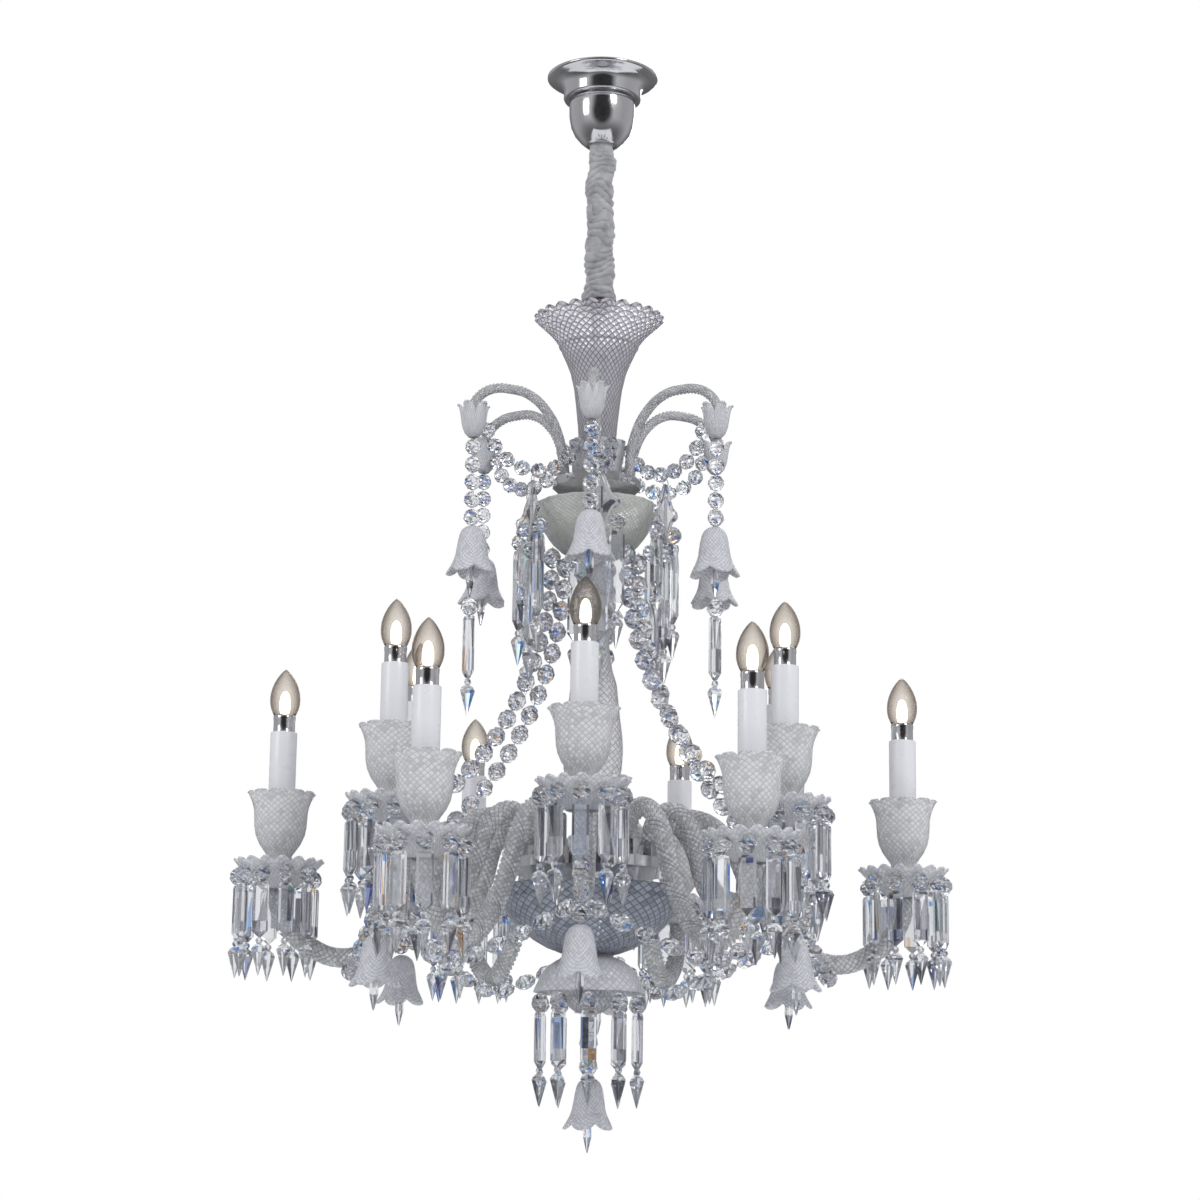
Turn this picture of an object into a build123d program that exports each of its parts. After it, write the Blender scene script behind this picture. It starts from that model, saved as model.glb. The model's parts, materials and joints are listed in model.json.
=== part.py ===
from build123d import *
from math import cos, radians, sin
import os

# Crystal chandelier for twelve candle lamps. Millimetres, +Z up.
# The origin is the middle of the canopy on the ceiling, and the front is -Y.

# ---------------------------------------------------------------- driving sizes
gap = 0.3  # clearance between pieces that hang or turn on each other

# Ceiling end
canopy_r = 67.0
canopy_neck_r = 47.0
canopy_neck_top = -17.0
canopy_neck_bottom = -30.0
canopy_cup_r = 40.0
canopy_cup_bottom = -89.0
canopy_mouth_r = 17.0
canopy_wall = 1.5
canopy_sides = 16
bracket_length = 88.0
bracket_width = 20.0
bracket_thickness = 3.0
bracket_screw_spacing = 70.0
bracket_screw_r = 2.7
stem_r = 4.0
hook_z = -54.0
nut_height = 6.0
nut_r = 8.0
bridge_width = 14.0
bridge_thickness = 2.0

# Chain and sleeve
link_wire = 4.0
link_length = 38.0
link_width = 19.0
link_count = 6
sleeve_top = -78.0
sleeve_bottom = -286.0
sleeve_r = 17.0
sleeve_ruche = 2.4
sleeve_bore_r = 10.9
sleeve_mouth_r = 13.0
sleeve_mouth = 38.0  # the wider bore at the foot, round the quick link and the loop
sleeve_neck_r = 13.6
sleeve_folds = 7
sleeve_rings_per_fold = 2

# Stem, from the top down
rod_r = 4.0
rod_hole = rod_r + gap
loop_height = 26.0
vase_rim_r = 78.5
vase_top = -308.0
vase_bottom = -500.0
vase_wall = 3.5
vase_scallops = 10
collar_top = -461.0
collar_bottom = -503.0
collar_rim_r = 36.0
collar_foot_r = 30.0
collar_petals = 6
receiver_top = -503.0
receiver_height = 14.0
receiver_r = 52.0
dish_r = 71.0
dish_top = -536.0
dish_bottom = -603.0
dish_foot_r = 20.0
dish_wall = 4.0
cap_height = 6.0
ball_height = 38.0
ball_r = 22.0
leaf_height = 20.0
leaf_r = 27.0
leaf_count = 8
baluster_top_r = 14.0
baluster_r = 35.0
baluster_widest = -830.0
baluster_foot_r = 16.0
arm_plate_top = -958.0
arm_plate_height = 12.0
arm_plate_r = 96.0
bowl_r = 109.0
bowl_top = -988.0
bowl_bottom = -1064.0
bowl_foot_r = 26.0
bowl_wall = 5.0
spacer_height = 3.0
dome_r = 61.0
dome_height = 41.0
dome_wall = 4.0
foot_r = 26.5
foot_top = -1108.0
foot_bottom = -1134.0

# Top tier
tier_azimuth = -32.0
tier_count = 6
cane_r = 6.0
cane_foot_radius = 45.0
cane_apex_radius = 114.0
cane_apex = -411.0
tulip_radius = 162.0
tulip_top = -438.0
tulip_height = 39.0
tulip_r = 20.0
cane_steps = 5

# Arms and lamps
arm_r = 11.5
socket_radius = 80.0
socket_r = 13.5
socket_top = -940.0
lower_reach = 278.0
upper_reach = 172.0
lower_pan_z = -963.0
upper_pan_z = -902.0
lower_count = 6
lower_swivels = (0.0, -2.6, 1.3, 0.0, -6.4, 15.5)  # each arm as it is turned in its socket
low_point = 197.0  # the bottom of a lower arm's bend
low_point_z = -1071.0
arm_steps = 8
pan_r = 52.0
pan_foot_r = 18.0
pan_height = 32.0
pan_wall = 3.0
pan_lobes = 10
cup_rim_r = 38.5
cup_waist_r = 29.5
cup_belly_r = 27.5
cup_neck_r = 11.5
cup_foot_r = 15.0
cup_top = 81.0
cup_wall = 3.0
cup_sides = 8
tube_r = 15.4
tube_wall = 1.2
tube_foot = 24.0
tube_top = 150.6
collar_height = 19.7
holder_stem_r = 5.0
holder_r = 12.8
bulb_r = 17.5
bulb_height = 54.6

# Drops
octagon_r = 9.0
octagon_height = 22.0
prism_width = 18.0
prism_depth = 9.0
prism_height = 61.0
spear_r = 9.5
spear_height = 43.0
pin_r = 0.8
drop_circle = 46.0
dome_drops = 10

# Bells
bell_r = 30.0
bell_height = 57.0
bell_wall = 2.6
bell_crown_r = 14.5
bell_waist = 40.0
bell_waist_r = 20.5
bell_lobes = 5
bell_lobe_depth = 0.1
clapper_r = 5.5
clapper_drop = 26.0
bell_bead_height = 23.0
bell_bead_r = 8.2
lower_bell_radius = 266.0
lower_bell_z = -1032.0
string_beads = 5
string_bead_r = 8.0
top_bell_z = -582.0
pendant_bells = 3  # the bells at the front end in a long pendant, the others in a clapper
long_prism_height = 72.0
bottom_string = 54.0

# Fleur ornaments
fleur_width = 43.0
fleur_stem = 14.0  # the wire loop that it hangs by
fleur_height = 80.0
fleur_thickness = 5.0

# Strands
swag_bead_r = 7.0
collar_swag_beads = 8
collar_swag_sag = 50.0
long_strand_beads = 14
long_strand_sag = 80.0
long_strand_bead_r = 8.0
lower_swag_beads = 5
lower_swag_sag = 4.0
hub_r = 4.0  # the small plate at which a bell's chain and two swags meet
hub_height = 2.0

os.makedirs("parts", exist_ok=True)


# ---------------------------------------------------------------- tools of the trade
def save(piece, name):
    """Write one finished piece under its name."""
    piece.label = name
    export_step(piece, "parts/" + name + ".step")


def ring(radius, height, sides, depth):
    """Corners of a level outline, and with a depth its valleys lie that share inside its points."""
    count = 2 * sides if depth else sides
    corners = []
    for i in range(count):
        reach = radius * (1 - depth * (i % 2))
        turn = radians(360 * i / count)
        corners.append(Vector(reach * cos(turn), reach * sin(turn), height))
    return corners


def cut_glass(levels, sides, depth=0.0, hollow=(), through=False):
    """A body of flat facets through (height, radius) rings, fluted where depth is given.

    The rings run from the closed end to the open end, and back inside through the hollow.
    A body with a hole right through has no closed end.
    """
    rings = [ring(radius, height, sides, depth) for height, radius in (*levels, *reversed(hollow))]
    bands = list(zip(rings, rings[1:]))
    facets = []
    if through:
        bands.append((rings[-1], rings[0]))
    else:
        facets = [rings[0], rings[-1]]
    for low, high in bands:
        facets += [(low[i - 1], low[i], high[i], high[i - 1]) for i in range(len(low))]
    with BuildPart() as body:
        add(Solid(Shell([Face(Wire.make_polygon(facet)) for facet in facets])))
    return body.part


def bead(height, radius, sides=4, shoulder=0.5):
    """A cut bead from z = 0 down, pointed at both ends, widest at the share shoulder."""
    with BuildPart() as body:
        with BuildSketch(Plane.XY.offset(-height * shoulder)) as girdle:
            RegularPolygon(radius, sides)
        loft(sections=[Vertex(0, 0, 0), girdle.sketch.face(), Vertex(0, 0, -height)], ruled=True)
    return body.part


def facet_path(curve, steps):
    """Points of a curve at equal steps."""
    return [curve @ (i / steps) for i in range(steps + 1)]


def glass_rope(foot_z, bends, tip_z, radius, steps, sides=6):
    """A bent glass bar in the XZ plane, smooth through its bends and straight up or down at both ends."""
    smooth = Spline(*[(x, 0, z) for x, z in bends])
    foot = Vector(bends[0][0], 0, foot_z)
    with BuildPart() as body:
        with BuildLine():
            Polyline(foot, *facet_path(smooth, steps), Vector(bends[-1][0], 0, tip_z))
        with BuildSketch(Plane.XY.move(Location(foot))):
            RegularPolygon(radius, sides)
        sweep(transition=Transition.RIGHT)
    return body.part


def turned_out(azimuth, radius, height=0.0):
    """A place on a circle round the stem, facing out."""
    turn = radians(azimuth)
    return Location((radius * cos(turn), radius * sin(turn), height), (0, 0, azimuth))


def group(piece, places):
    """Copies of one piece at several places, as one node of separate solids."""
    with BuildPart() as copies:
        with Locations(*places):
            add(piece)
    return copies.part


def strand(start, end, sag, count, radius):
    """Beads along an arc that sags between two points, and the place of each."""
    middle = (start + end) * 0.5 - Vector(0, 0, sag)
    arc = ThreePointArc(start, middle, end)
    knots = facet_path(arc, count)
    step = (knots[1] - knots[0]).length
    one = bead(step - gap, radius)
    places = []
    for a, b in zip(knots, knots[1:]):
        along = (a - b).normalized()
        places.append(Plane(origin=a - along * (gap / 2), z_dir=along).location)
    return one, places


def bell_drop(top_string, beads, pendant):
    """A bell under its beads, hung at z = 0: bead string, bell, and a clapper or a pendant."""
    bead_length = (top_string - gap) / beads
    solids = [bead(bead_length - gap, bell_bead_r, 4, 0.6).moved(Location((0, 0, -i * bead_length)))
              for i in range(beads)]
    levels = ((0, 5.0), (-8, bell_crown_r), (-bell_waist, bell_waist_r), (-bell_height, bell_r))
    hollow = ((-8 - bell_wall, bell_crown_r - bell_wall), (-bell_waist, bell_waist_r - bell_wall),
              (-bell_height, bell_r - bell_wall))
    bell = cut_glass(levels, bell_lobes, bell_lobe_depth, hollow)
    solids.append(bell.moved(Location((0, 0, -top_string))))
    tongue = cut_glass(((-8 - bell_wall - gap, pin_r), (-bell_waist, pin_r), (-bell_height - 8, clapper_r),
                        (-bell_height - clapper_drop, 0.6)), 4)
    solids.append(tongue.moved(Location((0, 0, -top_string))))
    if pendant:
        low = -top_string - bell_height - clapper_drop - gap
        for piece, height in drop_pieces(long_prism_height):
            solids.append(piece.moved(Location((0, 0, low))))
            low -= height + gap
    return solids


def drop_pieces(prism_length):
    """The three crystals of a drop with their heights: octagon, prism bar and spear."""
    with BuildPart() as bar:
        with BuildSketch(Plane.XY.offset(-prism_length)):
            Rectangle(prism_depth, prism_width)
        extrude(amount=prism_length)
    return ((bead(octagon_height, octagon_r, 4), octagon_height),
            (bar.part, prism_length),
            (bead(spear_height, spear_r, 4, 0.3), spear_height))


# ---------------------------------------------------------------- places
tier_azimuths = [tier_azimuth - 360 * k / tier_count for k in range(tier_count)]
lower_azimuths = [-360 * k / lower_count for k in range(lower_count)]
lower_sockets = [turned_out(turn, socket_radius) for turn in lower_azimuths]
upper_sockets = [turned_out(turn, socket_radius) for turn in tier_azimuths]
lower_arm_places = [place * Location((0, 0, 0), (0, 0, swivel))
                    for place, swivel in zip(lower_sockets, lower_swivels)]
lower_lamps = [place * Location((lower_reach, 0, lower_pan_z)) for place in lower_arm_places]
upper_lamps = [place * Location((upper_reach, 0, upper_pan_z)) for place in upper_sockets]
lamps = lower_lamps + upper_lamps

# ---------------------------------------------------------------- ceiling end
with BuildPart() as mounting_bracket:
    with BuildSketch(Plane.XY.offset(-bracket_thickness)):
        Rectangle(bracket_length, bracket_width)
        with Locations((-bracket_screw_spacing / 2, 0), (bracket_screw_spacing / 2, 0)):
            Circle(bracket_screw_r, mode=Mode.SUBTRACT)
        RegularPolygon(stem_r + gap, 8, mode=Mode.SUBTRACT)
    extrude(amount=bracket_thickness)
save(mounting_bracket.part, "mounting_bracket")

octagon_flat = cos(radians(22.5))  # half-width across the flats of an octagon of radius 1
hook_bar = 5.0
hook_eye_r = 8.0
stem_end = hook_z + (hook_eye_r + hook_bar / 2) * octagon_flat - 1.0
with BuildPart() as ceiling_hook:
    with BuildSketch(Plane.XY.offset(stem_end)):
        RegularPolygon(stem_r, 8)
    extrude(amount=-stem_end)
    with BuildSketch(Plane.XZ.offset(-hook_bar / 2)):
        with Locations((0, hook_z)):
            RegularPolygon(hook_eye_r + hook_bar / 2, 8, rotation=22.5)
            RegularPolygon(hook_eye_r - hook_bar / 2, 8, rotation=22.5, mode=Mode.SUBTRACT)
    extrude(amount=hook_bar)
save(ceiling_hook.part, "ceiling_hook")

flange_levels = ((canopy_neck_bottom, canopy_cup_r - 6), (canopy_neck_bottom, canopy_neck_r),
                 (canopy_neck_top, canopy_neck_r), (-8, canopy_neck_r + 4), (-2, canopy_r), (0, canopy_r))
flange_hollow = ((canopy_neck_bottom + canopy_wall, canopy_cup_r - 6),
                 (canopy_neck_bottom + canopy_wall, canopy_neck_r - canopy_wall),
                 (canopy_neck_top + 0.4, canopy_neck_r - canopy_wall),
                 (-6.4, canopy_neck_r + 4 - canopy_wall), (0, canopy_r - 6))
save(cut_glass(flange_levels, canopy_sides, 0, flange_hollow, True), "canopy_flange")

cup_seam = canopy_neck_bottom - gap / 3
cup_levels = ((canopy_cup_bottom, canopy_mouth_r), (canopy_cup_bottom + 8, canopy_cup_r - 11),
              (cup_seam - 26, canopy_cup_r), (cup_seam, canopy_cup_r))
cup_hollow = ((canopy_cup_bottom + canopy_wall, canopy_mouth_r),
              (canopy_cup_bottom + 8 + canopy_wall, canopy_cup_r - 11 - canopy_wall / 2),
              (cup_seam - 26, canopy_cup_r - canopy_wall), (cup_seam, canopy_cup_r - canopy_wall))
save(cut_glass(cup_levels, canopy_sides, 0, cup_hollow, True), "canopy_cup")

bridge_z = canopy_neck_bottom + canopy_wall + gap
bridge_reach = 2 * (canopy_neck_r - canopy_wall - 2.0)
with BuildPart() as canopy_bridge:
    with BuildSketch(Plane.XY.offset(bridge_z)):
        Rectangle(bridge_reach, bridge_width)
    extrude(amount=bridge_thickness)
    with BuildSketch(Plane.XY.offset(bridge_z - nut_height)):
        RegularPolygon(nut_r, 6)
    extrude(amount=nut_height)
    with BuildSketch(Plane.XY.offset(bridge_z - nut_height)):
        RegularPolygon(stem_r + gap / 2, 8)
    extrude(amount=nut_height + bridge_thickness, mode=Mode.SUBTRACT)
save(canopy_bridge.part, "canopy_bridge")


# ---------------------------------------------------------------- chain and sleeve
def chain_link(length, width, wire):
    """One long-sided link with square-cut ends, upright in the XZ plane about its middle."""
    with BuildPart() as link:
        with BuildSketch(Plane.XZ.offset(-wire / 2)):
            for grow, mode in ((0, Mode.ADD), (-wire, Mode.SUBTRACT)):
                half = width / 2 + grow
                tall = length / 2 + grow
                bevel = half * 0.4
                with BuildLine():
                    Polyline((half, tall - bevel), (half - bevel, tall), (bevel - half, tall),
                             (-half, tall - bevel), (-half, bevel - tall), (bevel - half, -tall),
                             (half - bevel, -tall), (half, bevel - tall), close=True)
                make_face(mode=mode)
        extrude(amount=wire)
    return link.part


link_pitch = link_length - 2 * link_wire - gap
chain_top = hook_z - (hook_eye_r - hook_bar / 2) * octagon_flat + gap + link_wire
first_link = chain_top - link_length / 2
chain_places = [Location((0, 0, first_link - i * link_pitch), (0, 0, 90 * (i + 1)))
                for i in range(link_count)]
suspension_chain = group(chain_link(link_length, link_width, link_wire), chain_places)
save(suspension_chain, "suspension_chain")
chain_bottom = first_link - (link_count - 1) * link_pitch - link_length / 2

sleeve_ring_count = sleeve_folds * sleeve_rings_per_fold
sleeve_levels = []
for i in range(sleeve_ring_count + 1):
    share = i / sleeve_ring_count
    swell = sleeve_ruche * cos(radians(180 * i)) + 1.1 * sin(radians(410 * share))
    neck = (sleeve_r - sleeve_neck_r) * max(0.0, 1 - share * sleeve_ring_count / 2)
    sleeve_levels.append((sleeve_top + (sleeve_bottom - sleeve_top) * share, sleeve_r - neck + swell * (i > 0)))
sleeve_bore = ((sleeve_top, sleeve_bore_r), (sleeve_bottom + sleeve_mouth, sleeve_bore_r),
               (sleeve_bottom + sleeve_mouth - 8, sleeve_mouth_r), (sleeve_bottom, sleeve_mouth_r))
save(cut_glass(sleeve_levels, 10, 0, sleeve_bore, True), "fabric_sleeve")

quick_length = 34.0
quick_middle = chain_bottom + 2 * link_wire + gap - quick_length / 2
quick_turn = 90 * (link_count + 1)
quick_link = chain_link(quick_length, link_width, link_wire).moved(
    Location((0, 0, quick_middle), (0, 0, quick_turn)))
save(quick_link, "quick_link")

# ---------------------------------------------------------------- stem
loop_bar = 5.0
loop_r = 8.0
loop_middle = quick_middle - quick_length / 2 + link_wire + gap - (loop_r - loop_bar / 2) * octagon_flat
loop_top = loop_middle + (loop_r + loop_bar / 2) * octagon_flat
loop_foot = loop_top - loop_height
with BuildPart() as top_loop:
    with BuildSketch(Plane.XZ.offset(-loop_bar / 2)):
        with Locations((0, loop_middle)):
            RegularPolygon(loop_r + loop_bar / 2, 8, rotation=22.5)
            RegularPolygon(loop_r - loop_bar / 2, 8, rotation=22.5, mode=Mode.SUBTRACT)
    extrude(amount=loop_bar)
    with BuildSketch(Plane.XY.offset(loop_foot)):
        RegularPolygon(6.5, 8)
    extrude(amount=loop_height - 2 * loop_r - loop_bar / 2 + 0.5)
save(top_loop.part, "top_loop")

rod_top = loop_foot - gap / 3
with BuildPart() as centre_rod:
    with BuildSketch(Plane.XY.offset(foot_bottom)):
        RegularPolygon(rod_r, 8)
    extrude(amount=rod_top - foot_bottom)
save(centre_rod.part, "centre_rod")

vase_levels = ((vase_bottom, 20.0), (-455, 22.5), (-395, 28.5), (-352, 42.0), (-336, 49.0), (vase_top, vase_rim_r))
vase_hollow = ((vase_bottom, rod_hole), (vase_bottom + 30, rod_hole), (-455, 22.5 - vase_wall),
               (-395, 28.5 - vase_wall), (-336, 49.0 - vase_wall), (vase_top, vase_rim_r - vase_wall))
save(cut_glass(vase_levels, vase_scallops, 0.04, vase_hollow, True), "trumpet_vase")

collar_hole = 26.5
collar_levels = ((collar_bottom, collar_foot_r), (collar_bottom + 18, collar_foot_r), (collar_top, collar_rim_r))
collar_bore = ((collar_bottom, collar_hole), (collar_top, collar_hole))
vase_collar = cut_glass(collar_levels, collar_petals, 0.14, collar_bore, True)
save(vase_collar.moved(Location((0, 0, 0), (0, 0, tier_azimuth + 180 / tier_count))), "vase_collar")

receiver_bottom = receiver_top - receiver_height
cane_socket_height = 16.0
with BuildPart() as cane_receiver:
    with BuildSketch(Plane.XY.offset(receiver_bottom)):
        RegularPolygon(receiver_r, 12)
        RegularPolygon(rod_hole, 8, mode=Mode.SUBTRACT)
    extrude(amount=receiver_height - 4)
    with BuildSketch(Plane.XY.offset(receiver_top - 4)):
        RegularPolygon(34, 12)
        RegularPolygon(rod_hole, 8, mode=Mode.SUBTRACT)
    extrude(amount=4 - gap)
save(cane_receiver.part, "cane_receiver")

dish_levels = ((dish_bottom, dish_foot_r), (dish_bottom + 12, 42.0), (dish_bottom + 34, 61.0), (dish_top, dish_r))
dish_hollow = ((dish_bottom, rod_hole), (dish_bottom + dish_wall, rod_hole), (dish_bottom + dish_wall, dish_foot_r - 2),
               (dish_bottom + 34, 61.0 - dish_wall), (dish_top, dish_r - dish_wall))
save(cut_glass(dish_levels, 14, 0, dish_hollow, True), "upper_dish")


def threaded_on(levels, sides, depth=0.0):
    """A turned piece with the hole that the centre rod passes through."""
    bore_r = rod_hole / (1 - depth)
    bore = ((levels[0][0], bore_r), (levels[-1][0], bore_r))
    return cut_glass(levels, sides, depth, bore, True)


spindle = threaded_on(((dish_bottom + dish_wall + gap / 3, 14.0), (dish_bottom + 30, 8.0),
                       (receiver_bottom - gap / 3, 12.0)), 8)

cap_bottom = dish_bottom - cap_height
dish_cap = threaded_on(((cap_bottom, 13.0), (dish_bottom - gap / 3, 21.0)), 12)
save(dish_cap, "dish_cap")

ball_top = cap_bottom - gap / 3
ball_bottom = ball_top - ball_height
column_ball = threaded_on(((ball_bottom, 10.0), (ball_bottom + 10, 19.0), (ball_bottom + 19, ball_r),
                           (ball_bottom + 28, 19.0), (ball_top, 10.0)), 10)
save(column_ball, "column_ball")

leaf_top = ball_bottom - gap / 3
leaf_bottom = leaf_top - leaf_height
leaf_collar = threaded_on(((leaf_bottom, leaf_r), (leaf_bottom + 8, leaf_r - 7), (leaf_top, 13.0)),
                          leaf_count, 0.3)
save(leaf_collar, "leaf_collar")

baluster_top = leaf_bottom - gap / 3
baluster_bottom = arm_plate_top + gap / 3
column_baluster = threaded_on(((baluster_bottom, baluster_foot_r + 8), (baluster_bottom + 30, baluster_foot_r),
                               (baluster_widest - 40, 27.0), (baluster_widest, baluster_r),
                               (baluster_widest + 70, 28.0), (baluster_top - 32, 17.0),
                               (baluster_top, baluster_top_r)), 10)
save(column_baluster, "column_baluster")

arm_plate_bottom = arm_plate_top - arm_plate_height
with BuildPart() as arm_receiver:
    with BuildSketch(Plane.XY.offset(arm_plate_bottom)):
        RegularPolygon(arm_plate_r, 24)
        RegularPolygon(rod_hole, 8, mode=Mode.SUBTRACT)
    extrude(amount=arm_plate_height)
save(arm_receiver.part, "arm_receiver")

arm_foot = socket_top + gap / 3
socket = cut_glass(((arm_plate_top + gap / 3, socket_r + 1), (socket_top, socket_r)), 6)
save(group(socket, lower_sockets + upper_sockets), "arm_sockets")

bowl_levels = ((bowl_bottom, bowl_foot_r), (bowl_bottom + 22, 70.0), (bowl_bottom + 50, 101.0), (bowl_top, bowl_r))
bowl_hollow = ((bowl_bottom, rod_hole), (bowl_bottom + bowl_wall, rod_hole), (bowl_bottom + bowl_wall, bowl_foot_r),
               (bowl_bottom + 50, 101.0 - bowl_wall), (bowl_top, bowl_r - bowl_wall))
save(cut_glass(bowl_levels, 18, 0, bowl_hollow, True), "lower_bowl")

bowl_post = threaded_on(((bowl_bottom + bowl_wall + gap / 3, 18.0), (bowl_bottom + 40, 10.0),
                         (arm_plate_bottom - gap / 3, 16.0)), 8)

spacer_bottom = bowl_bottom - spacer_height
bowl_cap = threaded_on(((spacer_bottom, 18.0), (bowl_bottom - gap / 3, 22.0)), 12)
save(Compound(children=[spindle, bowl_post, bowl_cap]), "stem_spacers")

dome_top = spacer_bottom - gap / 3
dome_rim = dome_top - dome_height
dome_levels = ((dome_top, 16.0), (dome_rim + 33, 36.0), (dome_rim + 20, 52.0), (dome_rim, dome_r))
dome_hollow = ((dome_top, rod_hole), (dome_top - dome_wall, rod_hole), (dome_top - dome_wall, 14.0),
               (dome_rim + 18, 52.0 - dome_wall), (dome_rim, dome_r - dome_wall))
save(cut_glass(dome_levels, 14, 0, dome_hollow, True), "bottom_dome")

foot_baluster = threaded_on(((foot_bottom + 4, 12.0), (foot_bottom + 12, foot_r), (foot_top - 4, foot_r),
                             (foot_top + 12, 14.0), (dome_top - dome_wall - gap / 3, 10.0)), 12)
save(foot_baluster, "foot_baluster")

end_height = 14.0
end_top = foot_bottom - gap / 3
end_bottom = end_top - end_height
end_nut = cut_glass(((end_bottom, 4.0), (end_top - 6, 8.0), (end_top, 8.0)), 8)
save(end_nut, "end_nut")

# ---------------------------------------------------------------- top tier
tier_places = [turned_out(turn, 0) for turn in tier_azimuths]
cane_foot = receiver_top - 4 + gap / 3
cane_end = tulip_top - tulip_height + 18 + gap / 3
cane_bends = ((cane_foot_radius, cane_foot + 12), (cane_foot_radius + 6, cane_apex - 50),
              (cane_foot_radius + 23, cane_apex - 20), (cane_apex_radius - 22, cane_apex - 3),
              (cane_apex_radius, cane_apex), (cane_apex_radius + 24, cane_apex - 3),
              (tulip_radius - 7, cane_apex - 14), (tulip_radius, tulip_top + 2))
cane = glass_rope(cane_foot, cane_bends, cane_end, cane_r, cane_steps)
save(group(cane, tier_places), "glass_canes")

tulip_low = tulip_top - tulip_height
tulip_levels = ((tulip_low, 4.0), (tulip_low + 10, 12.5), (tulip_top, tulip_r))
tulip_hollow = ((tulip_low + 18, 9.5), (tulip_top, tulip_r - 3.0))
tulip = cut_glass(tulip_levels, 5, 0.16, tulip_hollow)
tulip_places = [turned_out(turn, tulip_radius) for turn in tier_azimuths]
save(group(tulip, tulip_places), "cane_tulips")

swag_points = (turned_out(180 / tier_count, collar_rim_r + gap, collar_top - 1).position,
               Vector(tulip_radius - 15.5, 0, tulip_low + 22))
swag_bead, swag_places = strand(*swag_points, collar_swag_sag, collar_swag_beads, swag_bead_r)
save(group(swag_bead, [tier * place for tier in tier_places for place in swag_places]), "collar_swags")

string_length = tulip_low - top_bell_z
for number, turn in enumerate(tier_azimuths):
    solids = bell_drop(string_length - gap, string_beads, number < pendant_bells)
    drop = Compound(children=[s.moved(turned_out(turn, tulip_radius, tulip_low - gap)) for s in solids])
    save(drop, "top_bell_" + str(number + 1))

# ---------------------------------------------------------------- fleur ornaments
swag_low = (swag_points[0] + swag_points[1]) * 0.5 - Vector(0, 0, collar_swag_sag)
fleur_top = swag_low.Z - swag_bead_r / 2
half = fleur_width / 2
lobe_z = -fleur_stem - 40
with BuildPart() as fleur:
    with BuildSketch(Plane.YZ.offset(-fleur_thickness / 2)):
        with BuildLine():
            Polyline((pin_r, 0), (pin_r, -fleur_stem), (6, -fleur_stem - 10), (half, -fleur_stem - 20),
                     (half - 3, lobe_z), (11, lobe_z + 8), (0, -fleur_height), (-11, lobe_z + 8), (3 - half, lobe_z),
                     (-half, -fleur_stem - 20), (-6, -fleur_stem - 10), (-pin_r, -fleur_stem), (-pin_r, 0),
                     close=True)
        make_face()
    extrude(amount=fleur_thickness)
pendant_hangs = ((3 - half, lobe_z, 58.0), (0.0, -fleur_height, 100.0), (half - 3, lobe_z, 94.0))
fleur_place = Location((swag_low.X, swag_low.Y, fleur_top))
for number, tier in enumerate(tier_places):
    solids = [fleur.part]
    for across, hang, prism_length in pendant_hangs:
        below = hang - gap
        for piece, height in drop_pieces(prism_length):
            solids.append(piece.moved(Location((0, across, below))))
            below -= height + gap
    drop = Compound(children=[s.moved(tier * fleur_place) for s in solids])
    save(drop, "fleur_drop_" + str(number + 1))

# ---------------------------------------------------------------- arms and lamps
lower_tip = lower_pan_z - pan_height - gap / 3
upper_tip = upper_pan_z - pan_height - gap / 3
lower_bends = ((0, arm_foot + 12), (12, arm_foot + 27), (37, arm_foot + 33), (72, arm_foot + 13), (107, arm_foot - 53),
               (low_point - 48, low_point_z + 24), (low_point, low_point_z), (low_point + 46, low_point_z + 14),
               (lower_reach - 9, lower_tip - 36), (lower_reach, lower_tip - 12))
upper_bends = ((0, arm_foot + 12), (9, arm_foot + 27), (28, arm_foot + 34), (53, arm_foot + 11), (73, arm_foot - 40),
               (104, arm_foot - 72), (140, arm_foot - 60), (upper_reach - 9, upper_tip - 38),
               (upper_reach, upper_tip - 12))
lower_arm = glass_rope(arm_foot, lower_bends, lower_tip, arm_r, arm_steps)
upper_arm = glass_rope(arm_foot, upper_bends, upper_tip, arm_r, arm_steps)
save(group(lower_arm, lower_arm_places), "lower_arms")
save(group(upper_arm, upper_sockets), "upper_arms")

pan = cut_glass(((-pan_height, pan_foot_r), (0, pan_r)), pan_lobes, 0,
                ((-pan_height + 4, pan_foot_r), (0, pan_r - pan_wall)))
save(group(pan, lamps), "drip_pans")

cup_foot = -pan_height + 4 + gap / 3
cup = cut_glass(((cup_foot, cup_foot_r), (8, cup_neck_r), (39, cup_belly_r), (62, cup_waist_r), (cup_top, cup_rim_r)),
                cup_sides, 0,
                ((tube_foot, tube_r + 1.6), (50, cup_belly_r - cup_wall), (cup_top, cup_rim_r - cup_wall)))
save(group(cup, lamps), "candle_cups")

with BuildPart() as tube:
    with BuildSketch(Plane.XY.offset(tube_foot + gap / 3)):
        RegularPolygon(tube_r, 8)
        RegularPolygon(tube_r - tube_wall, 8, mode=Mode.SUBTRACT)
    extrude(amount=tube_top - tube_foot - gap / 3)
save(group(tube.part, lamps), "candle_tubes")

holder = cut_glass(((tube_foot + gap / 3, holder_stem_r), (118, holder_stem_r), (126, holder_r),
                    (tube_top + collar_height, holder_r)), 6)
save(group(holder, lamps), "lamp_holders")

bulb_foot = tube_top + collar_height + gap / 3
bulb = cut_glass(((bulb_foot, 12.0), (bulb_foot + 17, bulb_r), (bulb_foot + 36, 12.5),
                  (bulb_foot + bulb_height, 1.5)), 6)
save(group(bulb, lamps), "bulbs")

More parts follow.
